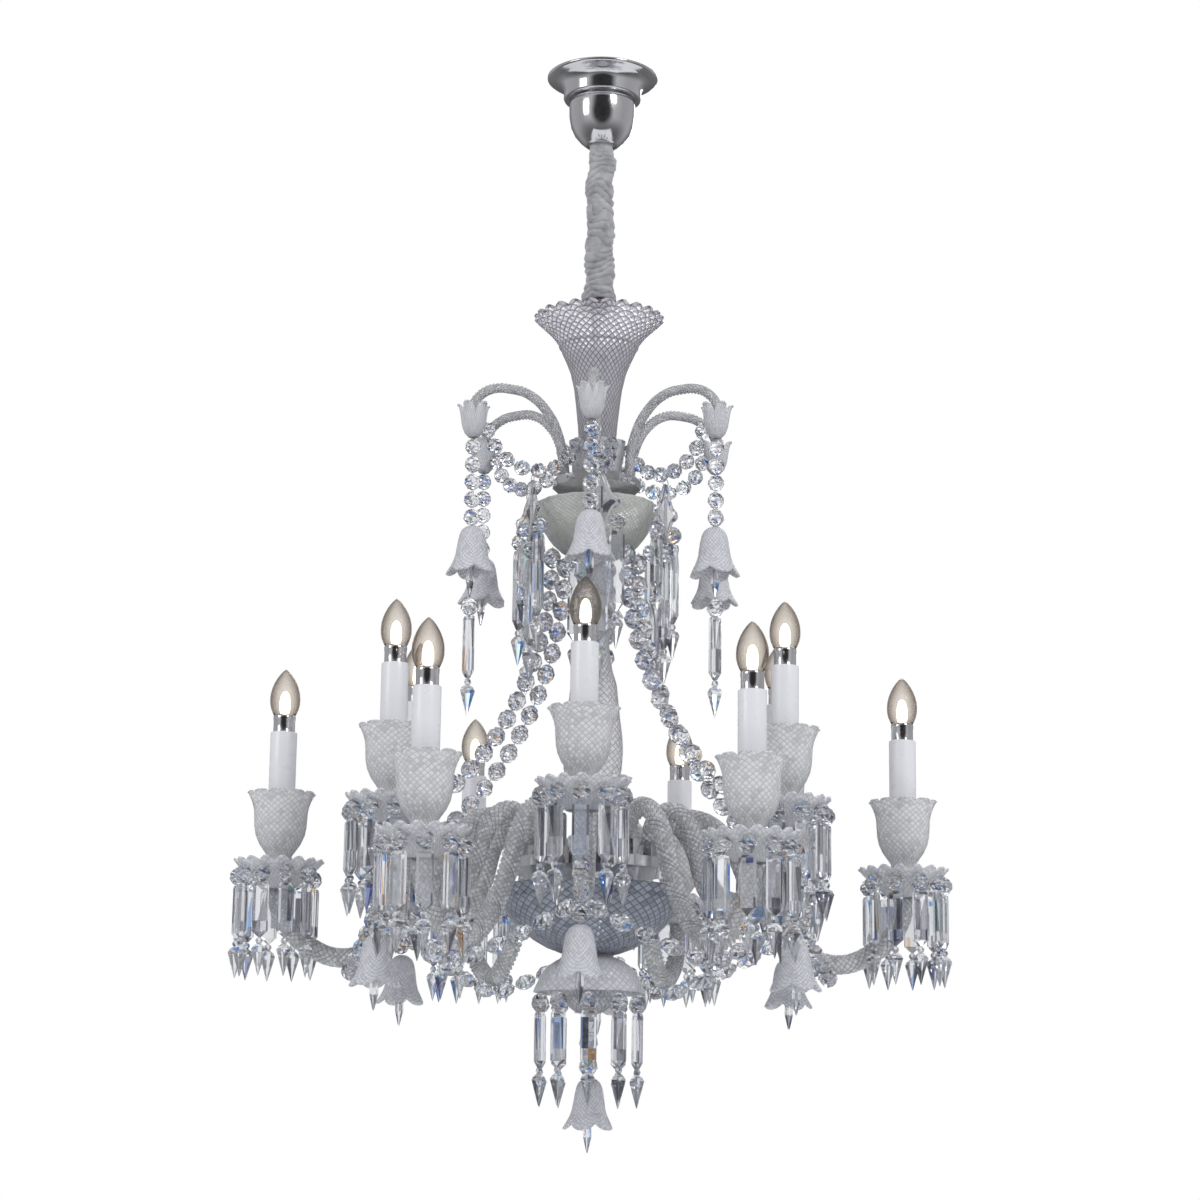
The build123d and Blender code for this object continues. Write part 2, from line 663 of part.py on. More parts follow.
# ---------------------------------------------------------------- drops of the pans and the dome
drop_turns = [360 * k / pan_lobes for k in range(pan_lobes) if 2 * k != pan_lobes]
pan_slope = pan_height / (pan_r - pan_foot_r)
drop_hang = (pan_r - drop_circle) * pan_slope + gap
drop_places = [lamp * turned_out(turn, drop_circle, -drop_hang) for lamp in lamps for turn in drop_turns]
dome_places = [turned_out(18 + 360 * k / dome_drops, dome_r - dome_wall / 2 - 1, dome_rim)
               for k in range(dome_drops)]
arm_pin = 9.0
arm_pin_z = low_point_z - arm_r - arm_pin - gap
bell_pin = 24.0
bell_pin_places = [turned_out(turn, lower_bell_radius, upper_pan_z - pan_height - bell_pin) for turn in tier_azimuths]
arm_pin_places = [place * Location((low_point, 0, arm_pin_z)) for place in lower_arm_places]
hub_places = [turned_out(turn, lower_bell_radius, lower_bell_z) for turn in tier_azimuths]
with BuildPart() as swag_pins:
    for places, height in ((arm_pin_places, arm_pin), (bell_pin_places, bell_pin - gap)):
        with Locations(*places):
            add(cut_glass(((0, pin_r), (height, pin_r)), 3))
    with Locations(*hub_places):
        add(cut_glass(((0, hub_r), (hub_height, hub_r)), 6))
save(swag_pins.part, "swag_pins")

offset_z = -gap
for name, (piece, height) in zip(("drop_octagons", "drop_prisms", "drop_spears"), drop_pieces(prism_height)):
    below = [place * Location((0, 0, offset_z)) for place in drop_places + dome_places]
    save(group(piece, below), name)
    offset_z -= height + gap

# ---------------------------------------------------------------- strands
long_start = turned_out(-14, dish_foot_r + 32, dish_bottom + 12).position
long_end = Vector(socket_radius + upper_reach - pan_r + 1.5, 0, upper_pan_z - 4)
long_bead, long_places = strand(long_start, long_end, long_strand_sag, long_strand_beads, long_strand_bead_r)
save(group(long_bead, [tier * place for tier in tier_places for place in long_places]), "long_strands")

bell_ring_top = upper_pan_z - pan_height - bell_pin
ring_step = (bell_ring_top - lower_bell_z - hub_height) / 3
with BuildPart() as lower_swags:
    for turn in tier_azimuths:
        with Locations(*[turned_out(turn, lower_bell_radius, bell_ring_top - gap - i * ring_step) for i in range(3)]):
            add(bead(ring_step - gap, swag_bead_r))
    for number, tier in enumerate(tier_azimuths):
        hub = turned_out(tier, lower_bell_radius, lower_bell_z + hub_height / 2).position
        for arm in (number, (number + 1) % lower_count):
            low = arm_pin_places[arm].position
            toward = Vector(low.X - hub.X, low.Y - hub.Y, 0).normalized()
            one, places = strand(hub + toward * (hub_r + gap), low - toward * (pin_r + gap), lower_swag_sag,
                                 lower_swag_beads, swag_bead_r)
            with Locations(*places):
                add(one)
save(lower_swags.part, "lower_swags")

# ---------------------------------------------------------------- lower bells
for number, turn in enumerate(tier_azimuths):
    solids = bell_drop(bell_bead_height, 1, False)
    drop = Compound(children=[s.moved(turned_out(turn, lower_bell_radius, lower_bell_z - gap)) for s in solids])
    save(drop, "lower_bell_" + str(number + 1))

solids = bell_drop(bottom_string, 2, False)
bottom_bell = Compound(children=[s.moved(Location((0, 0, end_bottom - gap))) for s in solids])
save(bottom_bell, "bottom_bell")
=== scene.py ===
"""Crystal chandelier: the looks of every piece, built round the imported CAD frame."""

import bpy
import bmesh
import json
import logging
import math
from collections.abc import Callable, Iterable, Sequence
from dataclasses import dataclass
from enum import Enum
from mathutils import Matrix, Vector, noise


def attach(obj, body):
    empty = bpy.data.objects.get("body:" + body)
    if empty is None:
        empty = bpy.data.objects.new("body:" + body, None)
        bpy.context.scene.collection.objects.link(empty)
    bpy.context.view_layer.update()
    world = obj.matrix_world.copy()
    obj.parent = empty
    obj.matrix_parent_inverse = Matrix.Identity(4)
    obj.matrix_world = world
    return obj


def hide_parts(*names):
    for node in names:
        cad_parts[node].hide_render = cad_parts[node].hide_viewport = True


logging.basicConfig(level=logging.INFO, format="%(message)s")
LOG = logging.getLogger("chandelier")
MM = 0.001
FULL_TURN = 2 * math.pi
Colour = tuple[float, float, float]
Level = tuple[float, float]
Profile = tuple[Level, ...]


class Body(Enum):
    """The rigid bodies that pieces ride on."""

    CEILING = "ceiling_mount"
    CHAIN = "chain"
    FRAME = "frame"


# ------------------------------------------------------------------ shader tools
class Shader:
    """A material's node tree with short ways to add and join nodes."""

    def __init__(self, tree: bpy.types.NodeTree) -> None:
        """Keep the tree.

        Args:
            tree: the node tree that nodes are added to.
        """
        self.tree = tree

    def add(self, kind: str, **settings: object) -> bpy.types.Node:
        """Add a node and set its plain properties.

        Args:
            kind: the node's type name.
            settings: property names and values.

        Returns:
            The new node.
        """
        node = self.tree.nodes.new(kind)
        for name, value in settings.items():
            setattr(node, name, value)
        return node

    def feed(self, source: object, target: bpy.types.NodeSocket) -> None:
        """Join a socket, or write a plain value, into a target socket.

        Args:
            source: a socket, a number or a colour.
            target: the socket that takes it.
        """
        if isinstance(source, bpy.types.NodeSocket):
            self.tree.links.new(source, target)
        else:
            target.default_value = source

    def calc(self, operation: str, first: object, second: object = 0.0) -> bpy.types.NodeSocket:
        """One math operation on two values.

        Args:
            operation: the Math node's operation.
            first: a socket or number.
            second: a socket or number.

        Returns:
            The result's socket.
        """
        node = self.add("ShaderNodeMath", operation=operation)
        self.feed(first, node.inputs[0])
        self.feed(second, node.inputs[1])
        return node.outputs[0]

    def blend(self, share: object, low: object, high: object) -> bpy.types.NodeSocket:
        """Mix two colours by a share.

        Args:
            share: 0 for low, 1 for high.
            low: a colour or socket.
            high: a colour or socket.

        Returns:
            The mixed colour's socket.
        """
        node = self.add("ShaderNodeMix", data_type="RGBA")
        self.feed(share, node.inputs["Factor"])
        for value, slot in ((low, 6), (high, 7)):
            self.feed((*value, 1.0) if isinstance(value, tuple) else value, node.inputs[slot])
        return node.outputs[2]


def band(ramp: bpy.types.ColorRamp, stops: Sequence[tuple[float, Colour]]) -> None:
    """Set a new colour ramp's stops.

    Args:
        ramp: the ramp, with the two stops that it starts with.
        stops: the place and colour of each stop.
    """
    for number, (position, colour) in enumerate(stops):
        stop = ramp.elements[number] if number < 2 else ramp.elements.new(position)
        stop.position = position
        stop.color = (*colour, 1.0)


class Effect:
    """A shader node group with named inputs and outputs, built once."""

    name = "effect"
    inputs: tuple[tuple[str, str, object], ...] = ()
    outputs: tuple[tuple[str, str], ...] = ()

    def tree(self) -> bpy.types.NodeTree:
        """The group's tree, made at its first use.

        Returns:
            The node group.
        """
        known = bpy.data.node_groups.get(self.name)
        if known:
            return known
        tree = bpy.data.node_groups.new(self.name, "ShaderNodeTree")
        for label, kind, value in self.inputs:
            socket = tree.interface.new_socket(label, in_out="INPUT", socket_type=kind)
            socket.default_value = value
        for label, kind in self.outputs:
            tree.interface.new_socket(label, in_out="OUTPUT", socket_type=kind)
        shader = Shader(tree)
        self.wire(shader, shader.add("NodeGroupInput").outputs, shader.add("NodeGroupOutput").inputs)
        return tree

    def wire(self, shader: Shader, given: object, result: object) -> None:
        """Join the group's nodes; each effect writes its own."""
        raise NotImplementedError

    def place(self, shader: Shader, **values: object) -> bpy.types.Node:
        """Put the group into a material.

        Args:
            shader: the material's nodes.
            values: the inputs by name, with _ for a space.

        Returns:
            The group node.
        """
        node = shader.add("ShaderNodeGroup", node_tree=self.tree())
        for label, value in values.items():
            shader.feed(value, node.inputs[label.replace("_", " ")])
        return node


class DiamondCut(Effect):
    """Crossed grooves round a turned piece, from its UV map: U in turns, V in metres along the wall; its
    masks carry painted shade in the grooves and painted sparkle on the diamonds.
    """

    name = "diamond_cut"
    groove_top = 0.34  # the height up to which a groove's painted shade reaches
    inputs = (("Around", "NodeSocketFloat", 24.0), ("Along", "NodeSocketFloat", 100.0))
    outputs = (("Height", "NodeSocketFloat"), ("Groove", "NodeSocketFloat"), ("Cell", "NodeSocketFloat"))

    def wire(self, shader: Shader, given: object, result: object) -> None:
        """Two families of slanting grooves, the lower one showing.

        Args:
            shader: the group's nodes.
            given: the group's input sockets.
            result: the group's output sockets.
        """
        place = shader.add("ShaderNodeSeparateXYZ")
        shader.feed(shader.add("ShaderNodeUVMap").outputs[0], place.inputs[0])
        around = shader.calc("MULTIPLY", place.outputs[0], given["Around"])
        along = shader.calc("MULTIPLY", place.outputs[1], given["Along"])
        peaks = []
        cell = shader.add("ShaderNodeCombineXYZ")
        for number, operation in enumerate(("ADD", "SUBTRACT")):
            slant = shader.calc(operation, around, along)
            shader.feed(shader.calc("FLOOR", slant), cell.inputs[number])
            centred = shader.calc("SUBTRACT", shader.calc("FRACT", slant), 0.5)
            peaks.append(shader.calc("MULTIPLY", shader.calc("ABSOLUTE", centred), 2.0))
        height = shader.calc("SUBTRACT", 1.0, shader.calc("MAXIMUM", *peaks))
        shader.feed(height, result["Height"])
        # Groove: the mask for the painted shade in the cut grooves
        groove = shader.add("ShaderNodeMapRange", interpolation_type="SMOOTHSTEP")
        shader.feed(height, groove.inputs["Value"])
        groove.inputs["From Max"].default_value = self.groove_top
        groove.inputs["To Min"].default_value = 1.0
        groove.inputs["To Max"].default_value = 0.0
        shader.feed(groove.outputs[0], result["Groove"])
        # Cell: a random number for each diamond, for the painted sparkle
        chance = shader.add("ShaderNodeTexWhiteNoise", noise_dimensions="3D")
        shader.feed(cell.outputs[0], chance.inputs["Vector"])
        shader.feed(chance.outputs["Value"], result["Cell"])


class PaintedFacetGlints(Effect):
    """A painted shade for each flat facet, standing in for what cut crystal reflects, with a few painted dark
    ones and a few painted coloured ones.
    """

    name = "painted_facet_glints"
    places = (41.0, 41.0, 29.0)  # cells in a metre, along X, Y and Z
    turns = (9.0, 9.0, 9.0)  # steps in a unit of the facet's direction, along X, Y and Z
    # the painted reflection grey that facets lean towards at random
    painted_reflection_grey = (0.66, 0.67, 0.71)
    # the painted colours of the few coloured facets, painted fire
    hues = (
        (0.0, (0.12, 0.3, 0.8)), (0.45, (0.1, 0.12, 0.42)), (0.7, (0.75, 0.42, 0.2)),
        (0.85, (0.35, 0.65, 0.6)))
    shuffle = 971.0  # spreads the few random numbers of the coloured facets over all hues
    # the clear colour, the painted dark colour, and the shares of painted dark and painted coloured facets
    inputs = (
        ("Clear", "NodeSocketColor", (0.93, 0.94, 0.97, 1)),
        ("Dark", "NodeSocketColor", (0.16, 0.16, 0.19, 1)),
        ("Dark Share", "NodeSocketFloat", 0.2),
        ("Fire Share", "NodeSocketFloat", 0.05))
    outputs = (("Color", "NodeSocketColor"), ("Value", "NodeSocketFloat"))

    def wire(self, shader: Shader, given: object, result: object) -> None:
        """A random number from each facet's direction and rough place picks its painted shade.

        Args:
            shader: the group's nodes.
            given: the group's input sockets.
            result: the group's output sockets.
        """
        place = shader.add("ShaderNodeVectorMath", operation="MULTIPLY")
        shader.feed(shader.add("ShaderNodeTexCoord").outputs["Object"], place.inputs[0])
        place.inputs[1].default_value = self.places
        cell = shader.add("ShaderNodeVectorMath", operation="FLOOR")
        shader.feed(place.outputs[0], cell.inputs[0])
        turn = shader.add("ShaderNodeVectorMath", operation="MULTIPLY")
        shader.feed(shader.add("ShaderNodeNewGeometry").outputs["True Normal"], turn.inputs[0])
        turn.inputs[1].default_value = self.turns
        facing = shader.add("ShaderNodeVectorMath", operation="FLOOR")
        shader.feed(turn.outputs[0], facing.inputs[0])
        seed = shader.add("ShaderNodeVectorMath", operation="ADD")
        shader.feed(cell.outputs[0], seed.inputs[0])
        shader.feed(facing.outputs[0], seed.inputs[1])
        chance = shader.add("ShaderNodeTexWhiteNoise", noise_dimensions="3D")
        shader.feed(seed.outputs[0], chance.inputs["Vector"])
        value = chance.outputs["Value"]
        # each facet leans at random towards the painted reflection grey
        shade = shader.blend(shader.calc("MULTIPLY", value, 0.5), given["Clear"], self.painted_reflection_grey)
        # a few facets in painted dark reflection
        dark = shader.calc("LESS_THAN", value, given["Dark Share"])
        shade = shader.blend(dark, shade, given["Dark"])
        # a few facets in painted coloured fire
        fire = shader.calc("GREATER_THAN", value, shader.calc("SUBTRACT", 1.0, given["Fire Share"]))
        hue = shader.add("ShaderNodeValToRGB")
        shader.feed(shader.calc("FRACT", shader.calc("MULTIPLY", value, self.shuffle)), hue.inputs[0])
        hue.color_ramp.interpolation = "CONSTANT"
        band(hue.color_ramp, self.hues)
        shader.feed(shader.blend(fire, shade, hue.outputs[0]), result["Color"])
        shader.feed(value, result["Value"])


class FineGrain(Effect):
    """Small noise on Object coordinates, for wear, pile and cast skins."""

    name = "fine_grain"
    usual = (0.3, 0.7)  # the noise's usual range
    inputs = (
        ("Scale", "NodeSocketFloat", 400.0),
        ("Low", "NodeSocketFloat", 0.0),
        ("High", "NodeSocketFloat", 1.0))
    outputs = (("Value", "NodeSocketFloat"),)

    def wire(self, shader: Shader, given: object, result: object) -> None:
        """One noise, spread between Low and High.

        Args:
            shader: the group's nodes.
            given: the group's input sockets.
            result: the group's output sockets.
        """
        grain = shader.add("ShaderNodeTexNoise")
        shader.feed(shader.add("ShaderNodeTexCoord").outputs["Object"], grain.inputs["Vector"])
        shader.feed(given["Scale"], grain.inputs["Scale"])
        spread = shader.add("ShaderNodeMapRange")
        shader.feed(grain.outputs["Fac"], spread.inputs["Value"])
        spread.inputs["From Min"].default_value, spread.inputs["From Max"].default_value = self.usual
        shader.feed(given["Low"], spread.inputs["To Min"])
        shader.feed(given["High"], spread.inputs["To Max"])
        shader.feed(spread.outputs[0], result["Value"])


# ------------------------------------------------------------------ finishes
@dataclass(frozen=True)
class Finish:
    """A material made once and shared."""

    name: str

    def material(self) -> bpy.types.Material:
        """The material, made at its first use.

        Returns:
            The Blender material.
        """
        known = bpy.data.materials.get(self.name)
        if known:
            return known
        made = bpy.data.materials.new(self.name)
        made.use_nodes = True
        shader = Shader(made.node_tree)
        self.dress(shader, made.node_tree.nodes["Principled BSDF"])
        return made

    def dress(self, shader: Shader, skin: bpy.types.Node) -> None:
        """Wire the nodes; each finish writes its own."""
        raise NotImplementedError

    def roughen(self, shader: Shader, skin: bpy.types.Node, scale: float, low: float, high: float) -> None:
        """Let the roughness wander between two values.

        Args:
            shader: the material's nodes.
            skin: the Principled BSDF.
            scale: the scale of the grain.
            low: the smoothest value.
            high: the roughest value.
        """
        grain = FineGrain().place(shader, Scale=scale, Low=low, High=high)
        shader.feed(grain.outputs[0], skin.inputs["Roughness"])

    def bump(self, shader: Shader, skin: bpy.types.Node, height: object, strength: float,
             depth: float) -> None:
        """Feed a height into the skin's normal.

        Args:
            shader: the material's nodes.
            skin: the Principled BSDF.
            height: the height's socket.
            strength: how much of the bump shows.
            depth: the height of 1, in metres.
        """
        node = shader.add("ShaderNodeBump")
        node.inputs["Strength"].default_value = strength
        node.inputs["Distance"].default_value = depth
        shader.feed(height, node.inputs["Height"])
        shader.feed(node.outputs[0], skin.inputs["Normal"])


@dataclass(frozen=True)
class CutGlass(Finish):
    """Pressed and cut glass with a lattice of small diamonds, painted shade in its grooves and painted
    sparkle on its diamonds.
    """

    light: Colour = (0.99, 0.99, 1.0)
    # deep: the painted shade in the grooves
    deep: Colour = (0.42, 0.42, 0.46)
    around: float = 30.0
    along: float = 150.0
    clear: float = 0.8
    rough: float = 0.05
    depth: float = 0.9 * MM
    # the share of brightness left on diamonds that the painted sparkle dims; in metal, the share in the
    # plating's cloud
    cloud_and_sparkle_dim: float = 0.84
    bend: float = 1.28  # its index of refraction, low so that the cuts show as lines
    rarity: float = 2.5  # the higher, the fewer diamonds are dimmed by the painted sparkle

    def dress(self, shader: Shader, skin: bpy.types.Node) -> None:
        """Diamonds in height, painted shade in the grooves and painted sparkle on the diamonds, with a little
        cloud in the glass.

        Args:
            shader: the material's nodes.
            skin: the Principled BSDF.
        """
        cut = DiamondCut().place(shader, Around=self.around, Along=self.along)
        # painted sparkle: some diamonds dimmed at random among bright ones
        painted_sparkle = shader.calc("POWER", cut.outputs["Cell"], self.rarity)
        shade = shader.blend(painted_sparkle, self.light, tuple(self.cloud_and_sparkle_dim * value for value in self.light))
        # painted shade in the cut grooves
        shade = shader.blend(cut.outputs["Groove"], shade, self.deep)
        shader.feed(shade, skin.inputs["Base Color"])
        self.roughen(shader, skin, scale=90.0, low=self.rough, high=self.rough + 0.14)
        skin.inputs["Transmission Weight"].default_value = self.clear
        skin.inputs["IOR"].default_value = self.bend
        self.bump(shader, skin, cut.outputs["Height"], strength=0.8, depth=self.depth)


@dataclass(frozen=True)
class RopeGlass(Finish):
    """Twisted glass bar, its ribs nicked across so that it looks netted, with painted shade in the nicks and
    painted sparkle on the diamonds between.
    """

    light: Colour = (0.98, 0.98, 1.0)
    # deep: the painted shade in the grooves
    deep: Colour = (0.42, 0.42, 0.45)
    around: float = 9.0
    along: float = 150.0
    clear: float = 0.2
    depth: float = 1.2 * MM
    # the share of brightness left on diamonds that the painted sparkle dims
    cloud_and_sparkle_dim: float = 0.62
    rarity: float = 1.5  # the higher, the fewer diamonds are dimmed by the painted sparkle

    def dress(self, shader: Shader, skin: bpy.types.Node) -> None:
        """A fine net over the geometry's own twist: painted shade in its grooves, painted sparkle on its
        diamonds.

        Args:
            shader: the material's nodes.
            skin: the Principled BSDF.
        """
        cut = DiamondCut().place(shader, Around=self.around, Along=self.along)
        # painted sparkle: some diamonds dimmed at random among bright ones
        painted_sparkle = shader.calc("POWER", cut.outputs["Cell"], self.rarity)
        shade = shader.blend(painted_sparkle, self.light, tuple(self.cloud_and_sparkle_dim * value for value in self.light))
        # painted shade in the cut grooves
        shade = shader.blend(cut.outputs["Groove"], shade, self.deep)
        shader.feed(shade, skin.inputs["Base Color"])
        self.roughen(shader, skin, scale=200.0, low=0.12, high=0.3)
        skin.inputs["Transmission Weight"].default_value = self.clear
        self.bump(shader, skin, cut.outputs["Height"], strength=0.9, depth=self.depth)


@dataclass(frozen=True)
class Crystal(Finish):
    """Clear cut lead crystal, bright, with painted dark and painted coloured glints on its facets."""

    clear: Colour = (0.96, 0.97, 1.0)
    painted_dark_share: float = 0.16
    painted_fire_share: float = 0.05
    pass_through: float = 0.85
    bend: float = 1.55

    def dress(self, shader: Shader, skin: bpy.types.Node) -> None:
        """Painted facet shades, with hardly any roughness.

        Args:
            shader: the material's nodes.
            skin: the Principled BSDF.
        """
        # painted facet shades: painted dark glints and painted coloured fire
        fire = PaintedFacetGlints().place(shader, Clear=(*self.clear, 1.0), Dark_Share=self.painted_dark_share,
                                 Fire_Share=self.painted_fire_share)
        shader.feed(fire.outputs["Color"], skin.inputs["Base Color"])
        self.roughen(shader, skin, scale=300.0, low=0.02, high=0.07)
        skin.inputs["Transmission Weight"].default_value = self.pass_through
        skin.inputs["IOR"].default_value = self.bend


@dataclass(frozen=True)
class Metal(Finish):
    """Plated or bare metal, with fine rub marks."""

    colour: Colour = (0.80, 0.80, 0.82)
    rough: float = 0.07
    cloud_and_sparkle_dim: float = 0.88

    def dress(self, shader: Shader, skin: bpy.types.Node) -> None:
        """Fine changes in polish and a faint cloud in the plating.

        Args:
            shader: the material's nodes.
            skin: the Principled BSDF.
        """
        rub = FineGrain().place(shader, Scale=160.0, Low=self.rough, High=self.rough + 0.1)
        cloud = FineGrain().place(shader, Scale=24.0)
        dulled = tuple(self.cloud_and_sparkle_dim * value for value in self.colour)
        shader.feed(shader.blend(cloud.outputs[0], self.colour, dulled), skin.inputs["Base Color"])
        shader.feed(rub.outputs[0], skin.inputs["Roughness"])
        skin.inputs["Metallic"].default_value = 1.0
        self.bump(shader, skin, rub.outputs[0], strength=0.15, depth=0.2 * MM)


@dataclass(frozen=True)
class Velvet(Finish):
    """Short-piled grey velvet, lighter where the pile stands up."""

    light: Colour = (0.50, 0.50, 0.51)
    deep: Colour = (0.30, 0.30, 0.31)

    def dress(self, shader: Shader, skin: bpy.types.Node) -> None:
        """Brushed patches in the pile, sheen, and the pile's grain.

        Args:
            shader: the material's nodes.
            skin: the Principled BSDF.
        """
        brushed = FineGrain().place(shader, Scale=65.0)
        shader.feed(shader.blend(brushed.outputs[0], self.deep, self.light), skin.inputs["Base Color"])
        skin.inputs["Roughness"].default_value = 0.85
        skin.inputs["Sheen Weight"].default_value = 0.7
        skin.inputs["Sheen Roughness"].default_value = 0.4
        pile = FineGrain().place(shader, Scale=1500.0)
        self.bump(shader, skin, pile.outputs[0], strength=0.5, depth=0.5 * MM)


@dataclass(frozen=True)
class CandleWhite(Finish):
    """Smooth white candle sleeve, a touch uneven in gloss."""

    light: Colour = (0.86, 0.86, 0.88)
    cloudy: Colour = (0.80, 0.80, 0.83)

    def dress(self, shader: Shader, skin: bpy.types.Node) -> None:
        """Near-white with a soft grey cloud.

        Args:
            shader: the material's nodes.
            skin: the Principled BSDF.
        """
        cloud = FineGrain().place(shader, Scale=18.0)
        shader.feed(shader.blend(cloud.outputs[0], self.light, self.cloudy), skin.inputs["Base Color"])
        self.roughen(shader, skin, scale=120.0, low=0.25, high=0.4)
        skin.inputs["Coat Weight"].default_value = 0.3
        self.bump(shader, skin, cloud.outputs[0], strength=0.1, depth=0.4 * MM)


@dataclass(frozen=True)
class BulbGlass(Finish):
    """Clear bulb glass, with a painted warm grey shade at its edges."""

    middle: Colour = (0.93, 0.90, 0.87)
    cloudy: Colour = (0.88, 0.85, 0.81)
    # edge: the painted shade where the wall is seen edge on
    edge: Colour = (0.24, 0.20, 0.17)
    bend: float = 1.12

    def dress(self, shader: Shader, skin: bpy.types.Node) -> None:
        """A warm grey, with painted shade that deepens it where the wall is seen edge on.

        Args:
            shader: the material's nodes.
            skin: the Principled BSDF.
        """
        cloud = FineGrain().place(shader, Scale=30.0)
        facing = shader.add("ShaderNodeLayerWeight")
        facing.inputs["Blend"].default_value = 0.66
        middle = shader.blend(cloud.outputs[0], self.middle, self.cloudy)
        # painted shade towards the parts of the wall seen edge on
        shader.feed(shader.blend(facing.outputs["Facing"], middle, self.edge), skin.inputs["Base Color"])
        self.roughen(shader, skin, scale=60.0, low=0.01, high=0.05)
        skin.inputs["Transmission Weight"].default_value = 0.95
        skin.inputs["IOR"].default_value = self.bend


@dataclass(frozen=True)
class Glow(Finish):
    """The lit filaments in a bulb."""

    strength: float = 2.6
    warm: Colour = (1.0, 0.80, 0.52)
    hot: Colour = (1.0, 0.93, 0.78)

    def dress(self, shader: Shader, skin: bpy.types.Node) -> None:
        """Warm white light, its warm and hot colours mixed by a fine noise.

        Args:
            shader: the material's nodes.
            skin: the Principled BSDF.
        """
        heat = FineGrain().place(shader, Scale=200.0)
        colour = shader.blend(heat.outputs[0], self.warm, self.hot)
        shader.feed(colour, skin.inputs["Emission Color"])
        shader.feed(colour, skin.inputs["Base Color"])
        skin.inputs["Emission Strength"].default_value = self.strength


CHROME = Metal("polished_chrome")
ZINC = Metal("dull_zinc", colour=(0.62, 0.62, 0.62), rough=0.3)
VELVET = Velvet("velvet_pile")
WHITE = CandleWhite("candle_white")
BULB = BulbGlass("bulb_clear")
GLOW = Glow("lit_filament")
ROPE = RopeGlass("twisted_glass")
BEAD = Crystal("bead_crystal")
DROP = Crystal("drop_crystal", clear=(0.97, 0.98, 1.0), painted_dark_share=0.15)
ORNAMENT = Crystal("ornament_crystal", clear=(0.97, 0.97, 0.98), painted_dark_share=0.14, painted_fire_share=0.03,
                   pass_through=0.72)
CUP_GLASS = CutGlass("cup_glass", light=(1.0, 1.0, 1.0), deep=(0.66, 0.66, 0.70), around=26.0, along=150.0,
                     clear=0.32, cloud_and_sparkle_dim=0.74)
PAN_GLASS = CutGlass("pan_glass", light=(0.97, 0.97, 1.0), deep=(0.66, 0.66, 0.71), around=40.0, along=120.0,
                     clear=0.28)
VASE_GLASS = CutGlass("vase_glass", light=(0.80, 0.78, 0.82), deep=(0.22, 0.21, 0.25), around=36.0,
                      along=120.0, clear=0.55)
BOWL_GLASS = CutGlass("bowl_glass", light=(0.58, 0.62, 0.70), deep=(0.20, 0.22, 0.28), around=48.0,
                      along=105.0, clear=0.5, cloud_and_sparkle_dim=0.6)
DISH_GLASS = CutGlass("dish_glass", light=(0.86, 0.87, 0.84), deep=(0.64, 0.65, 0.62), around=64.0,
                      along=210.0, clear=0.5)
BELL_GLASS = CutGlass("bell_glass", light=(0.93, 0.93, 0.97), deep=(0.5, 0.5, 0.55), around=26.0, along=190.0,
                      clear=0.2, rough=0.2, depth=0.6 * MM, cloud_and_sparkle_dim=0.8)
STEM_GLASS = CutGlass("stem_glass", light=(0.93, 0.93, 0.95), deep=(0.38, 0.38, 0.42), around=22.0,
                      along=130.0, clear=0.6)


# ------------------------------------------------------------------ modelling tools
def deselect() -> None:
    """Leave nothing selected."""
    for thing in bpy.context.selected_objects:
        thing.select_set(False)


def pick(thing: bpy.types.Object) -> None:
    """Select one object and make it the active one.

    Args:
        thing: the object.
    """
    deselect()
    thing.select_set(True)
    bpy.context.view_layer.objects.active = thing


def thrown(name: str, levels: Sequence[Level], sides: int = 40, twist: float = 0.0,
           round_off: bool = True) -> bpy.types.Object:
    """Turn a piece from rings: a circle, then extruded and scaled from ring to ring.

    Args:
        name: the object's name.
        levels: (height, radius) of each ring in metres, along the wall.
        sides: points in a ring.
        twist: turn between rings, in radians.
        round_off: whether the wall is shaded smooth.

    Returns:
        The open shell, with a UV map of turns round and metres along.
    """
    deselect()
    height, radius = levels[0]
    bpy.ops.mesh.primitive_circle_add(vertices=sides, radius=radius, location=(0, 0, height))
    piece = bpy.context.active_object
    piece.name = name
    bpy.ops.object.transform_apply(location=True, rotation=True, scale=True)
    bpy.ops.object.mode_set(mode="EDIT")
    bpy.ops.mesh.select_all(action="SELECT")
    walk = [0.0]
    for (low, near), (high, far) in zip(levels, levels[1:]):
        bpy.ops.mesh.extrude_region_move(TRANSFORM_OT_translate={"value": (0, 0, high - low)})
        if far != near:
            bpy.ops.transform.resize(value=(far / near, far / near, 1), center_override=(0, 0, high))
        if twist:
            bpy.ops.transform.rotate(value=twist, orient_axis="Z", center_override=(0, 0, high))
        walk.append(walk[-1] + math.hypot(high - low, far - near))
    bpy.ops.object.mode_set(mode="OBJECT")
    unwrap(piece, walk, sides, -twist / FULL_TURN)
    if round_off:
        bpy.ops.object.shade_smooth()
    return piece


def turned(name: str, profile: Profile, sides: int, twist: float = 0.0) -> bpy.types.Object:
    """Throw a smooth piece from a profile in millimetres.

    Args:
        name: the object's name.
        profile: (height, radius) of each ring in millimetres.
        sides: points in a ring.
        twist: turn between rings, in radians.

    Returns:
        The open shell.
    """
    return thrown(name, [(z * MM, r * MM) for z, r in profile], sides, twist)


